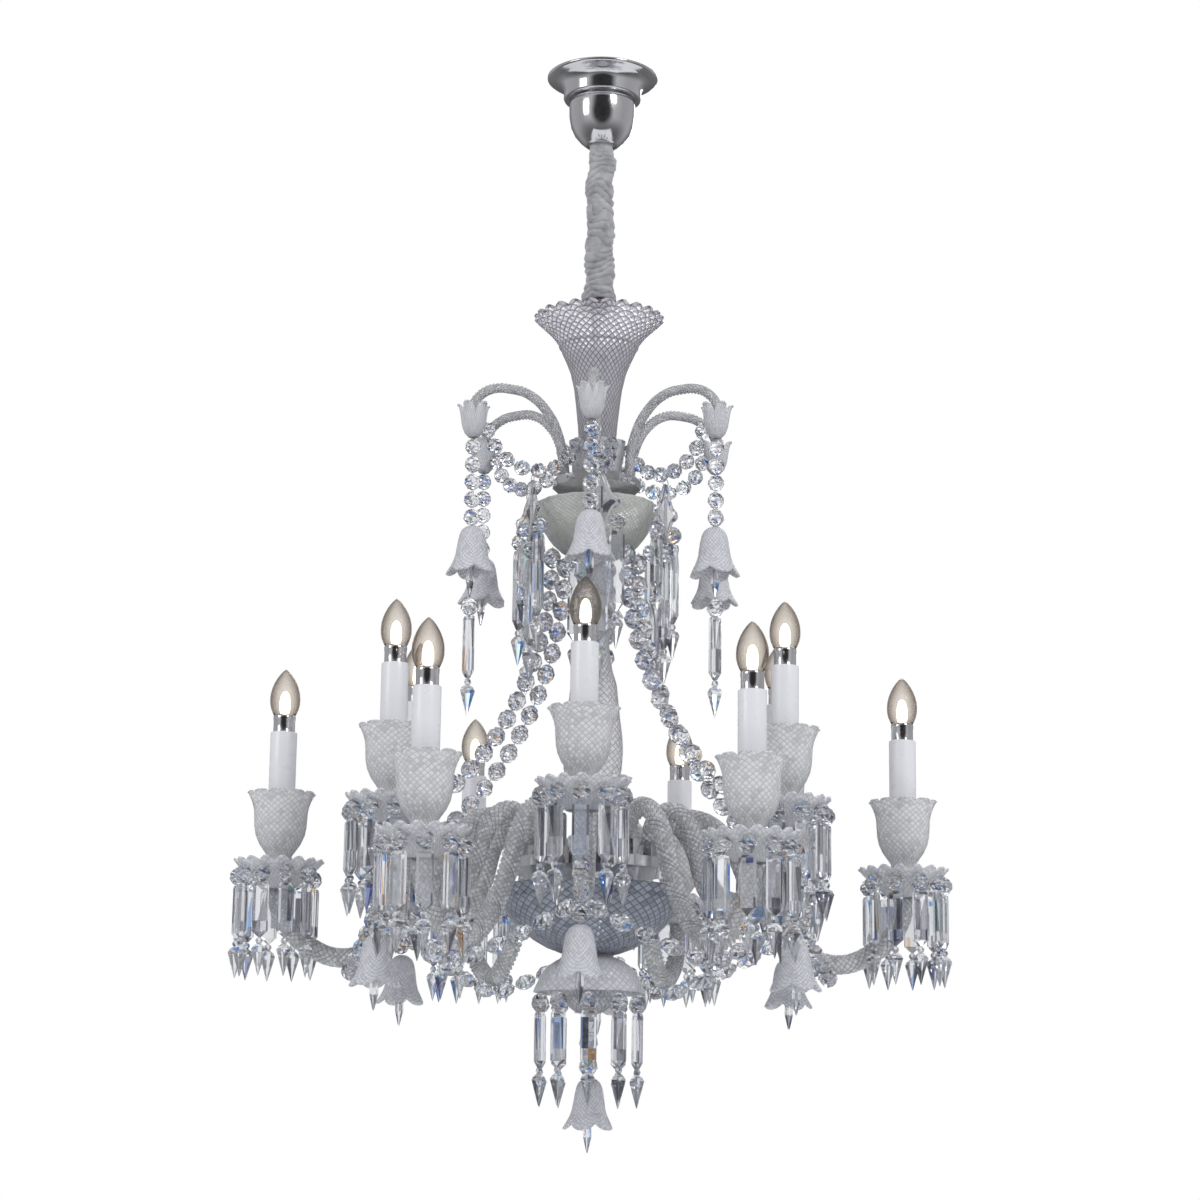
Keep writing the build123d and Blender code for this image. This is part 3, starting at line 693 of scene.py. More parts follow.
def unwrap(piece: bpy.types.Object, walk: Sequence[float], sides: int, lead: float = 0.0) -> None:
    """Give a turned wall its UV map from its rings.

    Args:
        piece: the wall, its vertices in ring order.
        walk: the way along the wall at each ring, in metres.
        sides: points in a ring.
        lead: how far each ring is turned past the one before, in turns.
    """
    mesh = piece.data
    for old in list(mesh.uv_layers):
        mesh.uv_layers.remove(old)
    layer = mesh.uv_layers.new(name="wall")
    for face in mesh.polygons:
        spots = [mesh.loops[i].vertex_index for i in face.loop_indices]
        columns = [spot % sides for spot in spots]
        wraps = max(columns) - min(columns) > sides / 2
        for i, spot, column in zip(face.loop_indices, spots, columns):
            turn = column + (sides if wraps and column < sides / 2 else 0)
            ring = min(spot // sides, len(walk) - 1)
            layer.data[i].uv = (turn / sides + ring * lead, walk[ring])


def modify(piece: bpy.types.Object, kind: str, **settings: object) -> bpy.types.Object:
    """Add a modifier with its settings and apply it.

    Args:
        piece: the object.
        kind: the modifier's type.
        settings: its properties.

    Returns:
        The same object.
    """
    pick(piece)
    modifier = piece.modifiers.new(kind.lower(), kind)
    for name, value in settings.items():
        setattr(modifier, name, value)
    bpy.ops.object.modifier_apply(modifier=modifier.name)
    return piece


def walled(piece: bpy.types.Object, wall: float) -> bpy.types.Object:
    """Give a shell its thickness, inwards."""
    return modify(piece, "SOLIDIFY", thickness=wall, offset=-1.0)


def capped(piece: bpy.types.Object) -> bpy.types.Object:
    """Close a shell's open ends.

    Args:
        piece: the shell.

    Returns:
        The same object.
    """
    pick(piece)
    bpy.ops.object.mode_set(mode="EDIT")
    bpy.ops.mesh.select_all(action="SELECT")
    bpy.ops.mesh.fill_holes(sides=0)
    bpy.ops.mesh.normals_make_consistent(inside=False)
    bpy.ops.object.mode_set(mode="OBJECT")
    return piece


def faced_out(piece: bpy.types.Object) -> bpy.types.Object:
    """Turn every face outwards.

    Args:
        piece: the object.

    Returns:
        The same object.
    """
    pick(piece)
    bpy.ops.object.mode_set(mode="EDIT")
    bpy.ops.mesh.select_all(action="SELECT")
    bpy.ops.mesh.normals_make_consistent(inside=False)
    bpy.ops.object.mode_set(mode="OBJECT")
    return piece


def waved(piece: bpy.types.Object, shift: Callable[[float, Vector], tuple[float, float]]) -> bpy.types.Object:
    """Move each point out and up by a rule of its bearing and place.

    Args:
        piece: a piece round the Z axis.
        shift: takes the bearing in radians and the point, and gives the share to scale its radius by and
            its rise in metres.

    Returns:
        The same object.
    """
    for point in piece.data.vertices:
        share, rise = shift(math.atan2(point.co.y, point.co.x), point.co)
        point.co.x *= share
        point.co.y *= share
        point.co.z += rise
    return piece


def clamped(share: float) -> float:
    """A share kept between 0 and 1."""
    return min(max(share, 0.0), 1.0)


def levelled(piece: bpy.types.Object, top: float) -> None:
    """Bring every point above a height down to it."""
    for point in piece.data.vertices:
        point.co.z = min(point.co.z, top)


@dataclass(frozen=True)
class Ruffle:
    """The waves of a rim: pointed lobes that grow from one height to another, in millimetres."""

    start: float
    end: float
    lobes: int
    depth: float  # the share of the radius that valleys lose at the rim
    rise: float  # how far the lobes' points rise at the rim


def ruffled(piece: bpy.types.Object, rim: Ruffle) -> bpy.types.Object:
    """Wave a rim.

    Args:
        piece: a piece round the Z axis.
        rim: its waves.

    Returns:
        The same object.
    """
    start, end, rise = rim.start * MM, rim.end * MM, rim.rise * MM

    def shift(bearing: float, point: Vector) -> tuple[float, float]:
        """Valleys between the lobes, deepest at the rim.

        Args:
            bearing: the point's bearing in radians.
            point: its place.

        Returns:
            The share to scale the radius by, and the rise in metres.
        """
        share = clamped((point.z - start) / (end - start)) ** 2
        wave = 1 - abs(math.sin(bearing * rim.lobes / 2))
        return 1 - rim.depth * share * wave, rise * share * (0.5 - wave)

    return waved(piece, shift)


def scatter(name: str, master: bpy.types.Object, places: Iterable[Matrix]) -> bpy.types.Object:
    """Copy a finished master to each place and join the copies into one piece; the master stays.

    Args:
        name: the new piece's name.
        master: the piece that repeats.
        places: where each copy stands.

    Returns:
        The joined piece.
    """
    deselect()
    copies = []
    for place in places:
        copy = master.copy()
        copy.data = master.data.copy()
        copy.data.transform(place)
        bpy.context.collection.objects.link(copy)
        copies.append(copy)
    return joined(name, copies)


def joined(name: str, parts: Sequence[bpy.types.Object]) -> bpy.types.Object:
    """Join objects into one named piece.

    Args:
        name: the piece's name.
        parts: the objects.

    Returns:
        The joined piece.
    """
    pick(parts[0])
    for part in parts:
        part.select_set(True)
    if len(parts) > 1:
        bpy.ops.object.join()
    piece = bpy.context.active_object
    piece.name = name
    return piece


def discard(*things: bpy.types.Object) -> None:
    """Remove masters that have been copied."""
    for thing in things:
        bpy.data.objects.remove(thing, do_unlink=True)


def hang(piece: bpy.types.Object, body: str, slot: str, finish: Finish, *nodes: str) -> None:
    """Dress a piece, let it ride on its body, and hide the CAD nodes that it stands for.

    Args:
        piece: the finished piece.
        body: the rigid body that carries it.
        slot: the record's material slot; not used.
        finish: its material.
        nodes: the CAD nodes that it replaces.
    """
    piece.data.materials.clear()
    piece.data.materials.append(finish.material())
    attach(piece, body)
    if nodes:
        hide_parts(*nodes)
    LOG.info("%s: %d faces on %s", piece.name, len(piece.data.polygons), body)


def along_line(top: Vector, tip: Vector) -> Matrix:
    """The middle of a line, with Z along it."""
    return Matrix.Translation((top + tip) / 2) @ (top - tip).to_track_quat("Z", "Y").to_matrix().to_4x4()


def upright(x: float, y: float, z: float = 0.0, turn: float = 0.0) -> Matrix:
    """A place turned about Z."""
    return Matrix.Translation((x, y, z)) @ Matrix.Rotation(turn, 4, "Z")


# ------------------------------------------------------------------ reading the frame
@dataclass
class Island:
    """One solid of a CAD node, by its corner points."""

    points: list[Vector]

    @property
    def low(self) -> Vector:
        """The box's lowest corner."""
        return Vector([min(point[i] for point in self.points) for i in range(3)])

    @property
    def high(self) -> Vector:
        """The box's highest corner."""
        return Vector([max(point[i] for point in self.points) for i in range(3)])

    @property
    def middle(self) -> Vector:
        """The mean of the corners."""
        return sum(self.points, Vector()) / len(self.points)

    def axis(self) -> tuple[Vector, Vector]:
        """The two points furthest apart, the upper one first.

        Returns:
            The upper and the lower point.
        """
        pairs = ((a, b) for i, a in enumerate(self.points) for b in self.points[i + 1:])
        one, other = max(pairs, key=lambda pair: (pair[0] - pair[1]).length)
        return (one, other) if one.z > other.z else (other, one)


def islands(node: str) -> list[Island]:
    """The separate solids of a CAD node.

    Args:
        node: the CAD node's name.

    Returns:
        Its solids, in mesh order.
    """
    mesh = bmesh.new()
    mesh.from_mesh(frame["nodes"][node].data)
    bmesh.ops.remove_doubles(mesh, verts=mesh.verts, dist=0.02 * MM)
    seen: set[bmesh.types.BMVert] = set()
    found = []
    for start in mesh.verts:
        if start in seen:
            continue
        cluster, waiting = [], [start]
        seen.add(start)
        while waiting:
            point = waiting.pop()
            cluster.append(point.co.copy())
            for edge in point.link_edges:
                other = edge.other_vert(point)
                if other not in seen:
                    seen.add(other)
                    waiting.append(other)
        found.append(Island(cluster))
    mesh.free()
    return found


# ------------------------------------------------------------------ cut crystals
@dataclass
class CrystalSet:
    """The shapes of cut crystal that hang all over the piece, each modelled once at unit size."""

    bead_swell: float = 1.3  # a real bead is rounder than its CAD stand-in
    bead_width: float = 0.92  # the most that a bead may be across, as a share of its CAD length
    bead_length: float = 0.96  # as a share of its CAD length
    tip_depth: float = 0.4  # how deep a bar stays where its outline shrinks to nothing
    spindle_points: int = 6
    bar_points: int = 8
    spear_share: float = 0.4  # a spear's girdle is nearer its top than this share of its length

    def __post_init__(self) -> None:
        """Model the masters."""
        self.bead = self.bead_master()
        self.spear = self.spear_master()
        self.prism = self.prism_master()

    def bead_master(self) -> bpy.types.Object:
        """An eight-sided bead, 1 across and 1 high, with a flat table at each end."""
        levels = ((-0.48, 0.12), (-0.36, 0.34), (-0.12, 0.5), (0.12, 0.5), (0.36, 0.34), (0.48, 0.12))
        return capped(thrown("bead_master", levels, sides=8, twist=math.pi / 8, round_off=False))

    def spear_master(self) -> bpy.types.Object:
        """An arrowhead drop, 1 across and 1 high: a short crown over a long point.

        Returns:
            The master.
        """
        levels = ((-0.5, 0.02), (0.08, 0.43), (0.17, 0.5), (0.26, 0.38), (0.33, 0.14), (0.4, 0.24),
                  (0.46, 0.2), (0.5, 0.06))
        return capped(thrown("spear_master", levels, sides=6, round_off=False))

    def prism_master(self) -> bpy.types.Object:
        """A long bar, 1 wide (X), 1 deep (Y) and 1 high: its long edges cut back, its foot a blunt point.

        Returns:
            The master.
        """
        levels = ((-0.5, 0.16), (-0.39, 1.0), (0.45, 1.0), (0.5, 0.8))
        bar = capped(thrown("prism_master", levels, sides=8, round_off=False))
        corners = ((0.36, 0.5), (-0.36, 0.5), (-0.5, 0.24), (-0.5, -0.24), (-0.36, -0.5), (0.36, -0.5),
                   (0.5, -0.24), (0.5, 0.24))
        for point in bar.data.vertices:
            x, y = corners[point.index % 8]
            share = levels[point.index // 8][1]
            point.co.x, point.co.y = x * share, y * (self.tip_depth + (1 - self.tip_depth) * share)
        return faced_out(bar)

    def place(self, island: Island) -> tuple[bpy.types.Object, Matrix] | None:
        """The master and the place that stand for one CAD solid.

        Args:
            island: the solid.

        Returns:
            The master with its place, or None where the solid isn't a crystal.
        """
        if len(island.points) == self.spindle_points:
            return self.place_spindle(island)
        if len(island.points) == self.bar_points:
            return self.place_bar(island)
        return None

    def place_spindle(self, island: Island) -> tuple[bpy.types.Object, Matrix]:
        """The place of a bead or a spear: a CAD spindle has two ends and four girdle points.

        Args:
            island: the solid.

        Returns:
            The master with its place.
        """
        top, tip = island.axis()
        girdle = [point for point in island.points if point not in (top, tip)]
        heart = sum(girdle, Vector()) / 4
        width = 2 * (girdle[0] - heart).length
        length = (top - tip).length
        stand = along_line(top, tip)
        if (heart - top).length < self.spear_share * length:
            return self.spear, stand @ Matrix.Diagonal((width, width, length, 1))
        width = min(width * self.bead_swell, length * self.bead_width)
        return self.bead, stand @ Matrix.Diagonal((width, width, length * self.bead_length, 1))

    def place_bar(self, island: Island) -> tuple[bpy.types.Object, Matrix]:
        """The place of a prism: a CAD bar has four points at each end.

        Args:
            island: the solid.

        Returns:
            The master with its place.
        """
        low, high = island.low, island.high
        top = sorted((point for point in island.points if point.z > high.z - MM), key=lambda p: p.x)
        deep, wide = sorted((point - top[0] for point in top[1:]), key=lambda way: way.length)[:2]
        across = wide.normalized()
        turn = Matrix.Rotation(math.atan2(across.y, across.x), 4, "Z")
        scale = Matrix.Diagonal((wide.length, deep.length, high.z - low.z, 1))
        return self.prism, Matrix.Translation((low + high) / 2) @ turn @ scale

    def string(self, name: str, solids: Iterable[Island]) -> bpy.types.Object:
        """One piece of all the crystals that stand for these solids.

        Args:
            name: the piece's name.
            solids: the CAD solids.

        Returns:
            The joined piece.
        """
        groups: dict[str, tuple[bpy.types.Object, list[Matrix]]] = {}
        for solid in solids:
            placed = self.place(solid)
            if placed:
                groups.setdefault(placed[0].name, (placed[0], []))[1].append(placed[1])
        parts = [scatter(name + "_" + key, master, places) for key, (master, places) in groups.items()]
        return joined(name, parts)

    def wires(self, name: str, solids: Sequence[Island], radius: float = 0.5 * MM) -> bpy.types.Object:
        """Thin wire pins through the crystals' ends.

        Args:
            name: the piece's name.
            solids: the CAD solids.
            radius: the wire's radius in metres.

        Returns:
            The joined wires.
        """
        rod = capped(thrown("wire_master", ((-0.54, 1.0), (0.0, 1.0), (0.54, 1.0)), sides=5))
        places = []
        for solid in solids:
            top, tip = solid.axis()
            places.append(along_line(top, tip) @ Matrix.Diagonal((radius, radius, (top - tip).length, 1)))
        piece = scatter(name, rod, places)
        discard(rod)
        return piece


# ------------------------------------------------------------------ ceiling end
@dataclass
class CeilingEnd:
    """The chromed canopy, its fixings, and the chain in its velvet sleeve."""

    canopy_r: float = 67 * MM
    neck_r: float = 47 * MM
    cup_r: float = 40 * MM
    seam: float = -30 * MM
    cup_foot: float = -89 * MM
    mouth_r: float = 17.2 * MM
    wall: float = 1.4 * MM
    sleeve_top: float = -78 * MM
    sleeve_foot: float = -285.5 * MM
    sleeve_r: float = 16.0 * MM
    sleeve_rings: int = 170
    cloth: float = 0.8 * MM
    ease: float = 1.08  # the cloth's girth over the sleeve's
    gathers: int = 19
    sides: int = 72
    slim: float = 0.66  # the share of the sleeve's radius that the folds add to
    tuck_depth: float = 0.28
    lump_depth: float = 0.26
    crease_depth: float = 0.14
    widening: float = 0.06
    flare: float = 0.16
    neck_share: float = 0.81  # as slim, at the drawn-in top, which clears the canopy's mouth as it swings

    def build(self) -> None:
        """Make and dress every piece of the ceiling end."""
        flange = thrown("canopy_flange_turned", (
            (0, self.canopy_r - 2.5 * MM), (0, self.canopy_r - 0.6 * MM), (-0.6 * MM, self.canopy_r),
            (-2.4 * MM, self.canopy_r), (-4 * MM, self.canopy_r - 2 * MM), (-6.5 * MM, self.neck_r + 11 * MM),
            (-10 * MM, self.neck_r + 4.5 * MM), (-14 * MM, self.neck_r + 1.5 * MM), (-19 * MM, self.neck_r),
            (-27.5 * MM, self.neck_r), (-29.3 * MM, self.neck_r - 0.8 * MM),
            (self.seam, self.neck_r - 2.6 * MM), (self.seam, self.cup_r - 5 * MM)), self.sides)
        hang(walled(faced_out(flange), self.wall), Body.CEILING.value, "chrome", CHROME, "canopy_flange")
        cup = thrown("canopy_cup_turned", (
            (self.seam, self.cup_r), (self.seam - 8 * MM, self.cup_r),
            (self.seam - 22 * MM, self.cup_r - 0.4 * MM), (self.seam - 34 * MM, self.cup_r - 2.6 * MM),
            (self.seam - 44 * MM, self.cup_r - 7 * MM), (self.seam - 52 * MM, self.cup_r - 13.5 * MM),
            (self.seam - 57 * MM, self.cup_r - 19 * MM), (self.cup_foot, self.mouth_r + 1.2 * MM),
            (self.cup_foot, self.mouth_r)), self.sides)
        hang(walled(faced_out(cup), self.wall), Body.CEILING.value, "chrome", CHROME, "canopy_cup")
        self.sleeve()
        for node in ("mounting_bracket", "ceiling_hook", "canopy_bridge", "suspension_chain", "quick_link"):
            recoat(node, ZINC)

    def sleeve(self) -> None:
        """The velvet sleeve, gathered on the chain in tight uneven folds."""
        height = self.sleeve_foot - self.sleeve_top
        rings = self.sleeve_rings
        levels = [(self.sleeve_top + height * i / rings, self.sleeve_r) for i in range(rings + 1)]
        cloth = thrown("velvet_sleeve", levels, self.sides)

        def fold(bearing: float, point: Vector) -> tuple[float, float]:
            """Lumps and slanting creases that wander round the sleeve, drawn in at its top.

            Args:
                bearing: the point's bearing in radians.
                point: its place.

            Returns:
                The share to scale the radius by, and the rise in metres.
            """
            along = (point.z - self.sleeve_top) / height
            side = Vector((math.cos(bearing), math.sin(bearing), 0))
            wander = noise.noise(side * 0.8 + Vector((0, 0, along * 6))) * 1.5
            slant = 0.45 * math.sin(bearing + along * 9)
            tuck = abs(math.sin(math.pi * (self.gathers * along + wander + slant))) ** 0.45
            lump = noise.noise(side * 0.7 + Vector((3, 1, along * 8)))
            fine = abs(noise.noise(side * 1.3 + Vector((1, 5, along * 34)))) ** 0.6
            flared = self.flare * max(0.0, along * 12 - 11)
            folded = self.slim + self.tuck_depth * tuck + self.lump_depth * lump + self.crease_depth * fine
            share = folded + self.widening * along + flared
            drawn = clamped((0.145 - along) / 0.07)
            return share + (self.neck_share + (share - 0.93) * 0.26 - share) * drawn, 0.0

        waved(cloth, fold)
        walled(faced_out(cloth), self.cloth)
        hang(cloth, Body.CHAIN.value, "grey_velvet", VELVET, "fabric_sleeve")


def recoat(node: str, finish: Finish) -> None:
    """Give a CAD node that stays its finish.

    Args:
        node: the CAD node's name.
        finish: its material.
    """
    thing = frame["nodes"][node]
    thing.data.materials.clear()
    thing.data.materials.append(finish.material())
    LOG.info("%s: finished in %s", node, finish.name)


# ------------------------------------------------------------------ stem
@dataclass
class Stem:
    """The glass and chrome that is threaded on the centre rod; profiles are in millimetres."""

    vase_profile: Profile = (
        (-500, 20), (-470, 21.2), (-440, 23.4), (-415, 26), (-395, 28.5), (-375, 33), (-362, 38),
        (-350, 43.5), (-345, 45.2), (-343.6, 47), (-341.8, 47.6), (-340.4, 47), (-332, 53), (-324, 60),
        (-316, 69), (-311, 75), (-308.5, 78.2))
    vase_rim: Ruffle = Ruffle(start=-345, end=-308.5, lobes=24, depth=0.06, rise=4)
    vase_wall: float = 3 * MM
    collar_profile: Profile = (
        (-503, 30), (-492, 29.5), (-485, 30), (-478, 32), (-470, 34), (-464, 36), (-461.2, 36))
    petals: Ruffle = Ruffle(start=-490, end=-461.2, lobes=6, depth=0.17, rise=10)
    collar_wall: float = 2.4 * MM
    dish_profile: Profile = (
        (-602.6, 12), (-602.6, 20), (-599, 30), (-592, 41.5), (-584, 50), (-575, 57), (-566, 62.5),
        (-556, 66.5), (-547, 69.5), (-541, 71), (-537.5, 70.5), (-536.2, 68))
    dish_wall: float = 3.4 * MM
    flutes: int = 24
    flute_depth: float = 0.012
    flute_slant: float = 260  # radians of a flute's wave in a metre of height
    ball_z: float = -628.1
    ball_height: float = 18.9  # half of a whole ball's height, before its ends are cut
    ball_r: float = 22
    leaf_profile: Profile = ((-647.4, 13), (-650, 17), (-654, 19), (-658, 20.5), (-662, 23), (-665.5, 26.6))
    leaf_wall: float = 2 * MM
    leaves: int = 8
    leaf_depth: float = 0.3
    leaf_start: float = -650 * MM
    leaf_height: float = 15 * MM
    baluster_profile: Profile = (
        (-957.7, 24), (-948, 21), (-938, 18), (-928, 16.4), (-912, 18), (-890, 24), (-868, 30), (-850, 33.6),
        (-830, 34.9), (-812, 34), (-790, 31), (-768, 28.6), (-752, 27), (-744, 24.6), (-736, 22),
        (-722, 19.4), (-705, 17.4), (-690, 16), (-678, 14.6), (-667.6, 14))
    bowl_profile: Profile = (
        (-1063.8, 18), (-1063.8, 26), (-1062, 34), (-1056, 50), (-1048, 64), (-1038, 78), (-1026, 90.5),
        (-1014, 99), (-1005, 103.2), (-1003.6, 105.2), (-1001.6, 105.4), (-1000.2, 104.4), (-994, 107),
        (-990, 108.8), (-988.2, 107))
    bowl_wall: float = 4.4 * MM
    dome_profile: Profile = (
        (-1107.8, 60.8), (-1103, 59), (-1096, 55.6), (-1088, 52), (-1080, 45.5), (-1074, 36.5), (-1069, 25),
        (-1067.3, 16), (-1067.3, 8))
    dome_wall: float = 3.4 * MM
    dome_scallops: int = 10
    scallop_depth: float = 0.05
    scallop_start: float = -1080 * MM
    scallop_height: float = 28 * MM
    foot_profile: Profile = (
        (-1130, 12), (-1127, 18), (-1122, 24.5), (-1117, 26.4), (-1112, 26.2), (-1107, 22), (-1102, 16.6),
        (-1096, 14), (-1086, 12), (-1076, 10.4), (-1071.4, 10))

    def build(self) -> None:
        """Make and dress the stem from the top down."""
        self.vase()
        self.collar()
        self.dish()
        self.column()
        self.bowl()
        self.foot()
        for node in ("top_loop", "cane_receiver", "stem_spacers", "dish_cap", "arm_receiver", "arm_sockets",
                     "end_nut"):
            recoat(node, CHROME)
        recoat("centre_rod", ZINC)

    def shell(self, piece: bpy.types.Object, wall: float, finish: Finish, node: str) -> None:
        """Give a thrown shell its wall and hang it on the frame.

        Args:
            piece: the open shell.
            wall: its thickness in metres.
            finish: its glass.
            node: the CAD node that it replaces.
        """
        hang(walled(faced_out(piece), wall), Body.FRAME.value, "cut_glass", finish, node)

    def vase(self) -> None:
        """A trumpet vase with a scalloped mouth."""
        vase = ruffled(turned("trumpet_vase_cut", self.vase_profile, sides=120), self.vase_rim)
        self.shell(vase, self.vase_wall, VASE_GLASS, "trumpet_vase")

    def collar(self) -> None:
        """A collar of standing petals."""
        collar = ruffled(turned("vase_collar_petals", self.collar_profile, sides=96), self.petals)
        levelled(collar, self.petals.end * MM)
        self.shell(collar, self.collar_wall, PAN_GLASS, "vase_collar")

    def dish(self) -> None:
        """The upper dish, with slanting flutes."""
        dish = turned("upper_dish_swirled", self.dish_profile, sides=96, twist=0.06)

        def swirl(bearing: float, point: Vector) -> tuple[float, float]:
            """Slanting flutes."""
            return 1 + self.flute_depth * math.sin(bearing * self.flutes + point.z * self.flute_slant), 0.0

        waved(dish, swirl)
        self.shell(dish, self.dish_wall, DISH_GLASS, "upper_dish")

    def column(self) -> None:
        """The ball, the leaf collar and the baluster."""
        slopes = [math.radians(degrees) for degrees in (-62, -42, -21, 0, 21, 42, 62)]
        rings = [((self.ball_z + self.ball_height * math.sin(slope)) * MM, self.ball_r * math.cos(slope) * MM)
                 for slope in slopes]
        ball = capped(thrown("column_ball_cut", rings, sides=12, twist=0.13, round_off=False))
        hang(ball, Body.FRAME.value, "cut_glass", STEM_GLASS, "column_ball")
        leaf = turned("leaf_collar_tips", self.leaf_profile, sides=96)

        def tips(bearing: float, point: Vector) -> tuple[float, float]:
            """Leaves whose tips stand out at the foot."""
            share = clamped((self.leaf_start - point.z) / self.leaf_height)
            return 1 - self.leaf_depth * share * abs(math.sin(bearing * self.leaves / 2)), 0.0

        waved(leaf, tips)
        self.shell(leaf, self.leaf_wall, PAN_GLASS, "leaf_collar")
        shaft = capped(turned("column_baluster_cut", self.baluster_profile, sides=64))
        hang(shaft, Body.FRAME.value, "cut_glass", STEM_GLASS, "column_baluster")

    def bowl(self) -> None:
        """The blue-grey bowl under the arms."""
        bowl = turned("lower_bowl_cut", self.bowl_profile, sides=128)
        self.shell(bowl, self.bowl_wall, BOWL_GLASS, "lower_bowl")

    def foot(self) -> None:
        """The bottom dome and the foot that closes the stem."""
        dome = turned("bottom_dome_cut", self.dome_profile, sides=96)

        def scallop(bearing: float, point: Vector) -> tuple[float, float]:
            """A waved lip."""
            share = clamped((self.scallop_start - point.z) / self.scallop_height)
            return 1 - self.scallop_depth * share * abs(math.sin(bearing * self.dome_scallops / 2)), 0.0

        waved(dome, scallop)
        self.shell(dome, self.dome_wall, PAN_GLASS, "bottom_dome")
        foot = capped(turned("foot_baluster_cut", self.foot_profile, sides=48))
        hang(foot, Body.FRAME.value, "cut_glass", STEM_GLASS, "foot_baluster")


# ------------------------------------------------------------------ glass ropes
@dataclass
class GlassRope:
    """A twisted glass bar that is bent to a route in the XZ plane."""

    name: str
    radius: float
    foot_z: float
    bends: tuple[Level, ...]
    tip_z: float
    lobes: int = 8
    lobe_points: int = 3
    lobe_depth: float = 0.09
    pitch: float = 62 * MM
    ring_step: float = 3.6 * MM
    handle: float = 5 * MM  # the length of the curve's handles at both ends
    fewest_rings: int = 8

    def route(self) -> bpy.types.Object:
        """The route as a smooth curve object.

        Returns:
            The curve in the XZ plane.
        """
        points = [(self.bends[0][0], self.foot_z), *self.bends, (self.bends[-1][0], self.tip_z)]
        curve = bpy.data.curves.new(self.name + "_route", "CURVE")
        curve.dimensions = "3D"
        curve.resolution_u = 24
        spline = curve.splines.new("BEZIER")
        spline.bezier_points.add(len(points) - 1)
        for knot, (x, z) in zip(spline.bezier_points, points):
            knot.co = (x, 0, z)
            knot.handle_left_type = knot.handle_right_type = "AUTO"
        for knot in (spline.bezier_points[0], spline.bezier_points[-1]):
            knot.handle_left_type = knot.handle_right_type = "FREE"
            knot.handle_left = knot.co - Vector((0, 0, self.handle))
            knot.handle_right = knot.co + Vector((0, 0, self.handle))
        thing = bpy.data.objects.new(self.name + "_route", curve)
        bpy.context.collection.objects.link(thing)
        return thing

    def model(self) -> bpy.types.Object:
        """The bent bar.

        Returns:
            The bar in the XZ plane, its foot at the route's start.
        """
        route = self.route()
        length = route.data.splines[0].calc_length()
        rings = max(self.fewest_rings, round(length / self.ring_step))
        step = length / rings
        bar = thrown(self.name, [(i * step, self.radius) for i in range(rings + 1)],
                     self.lobes * self.lobe_points, FULL_TURN * step / self.pitch)
        for point in bar.data.vertices:
            if point.index % self.lobe_points == 0:
                point.co.x *= 1 - self.lobe_depth * 2
                point.co.y *= 1 - self.lobe_depth * 2
        capped(bar)
        modify(bar, "CURVE", object=route, deform_axis="POS_Z")
        discard(route)
        return bar


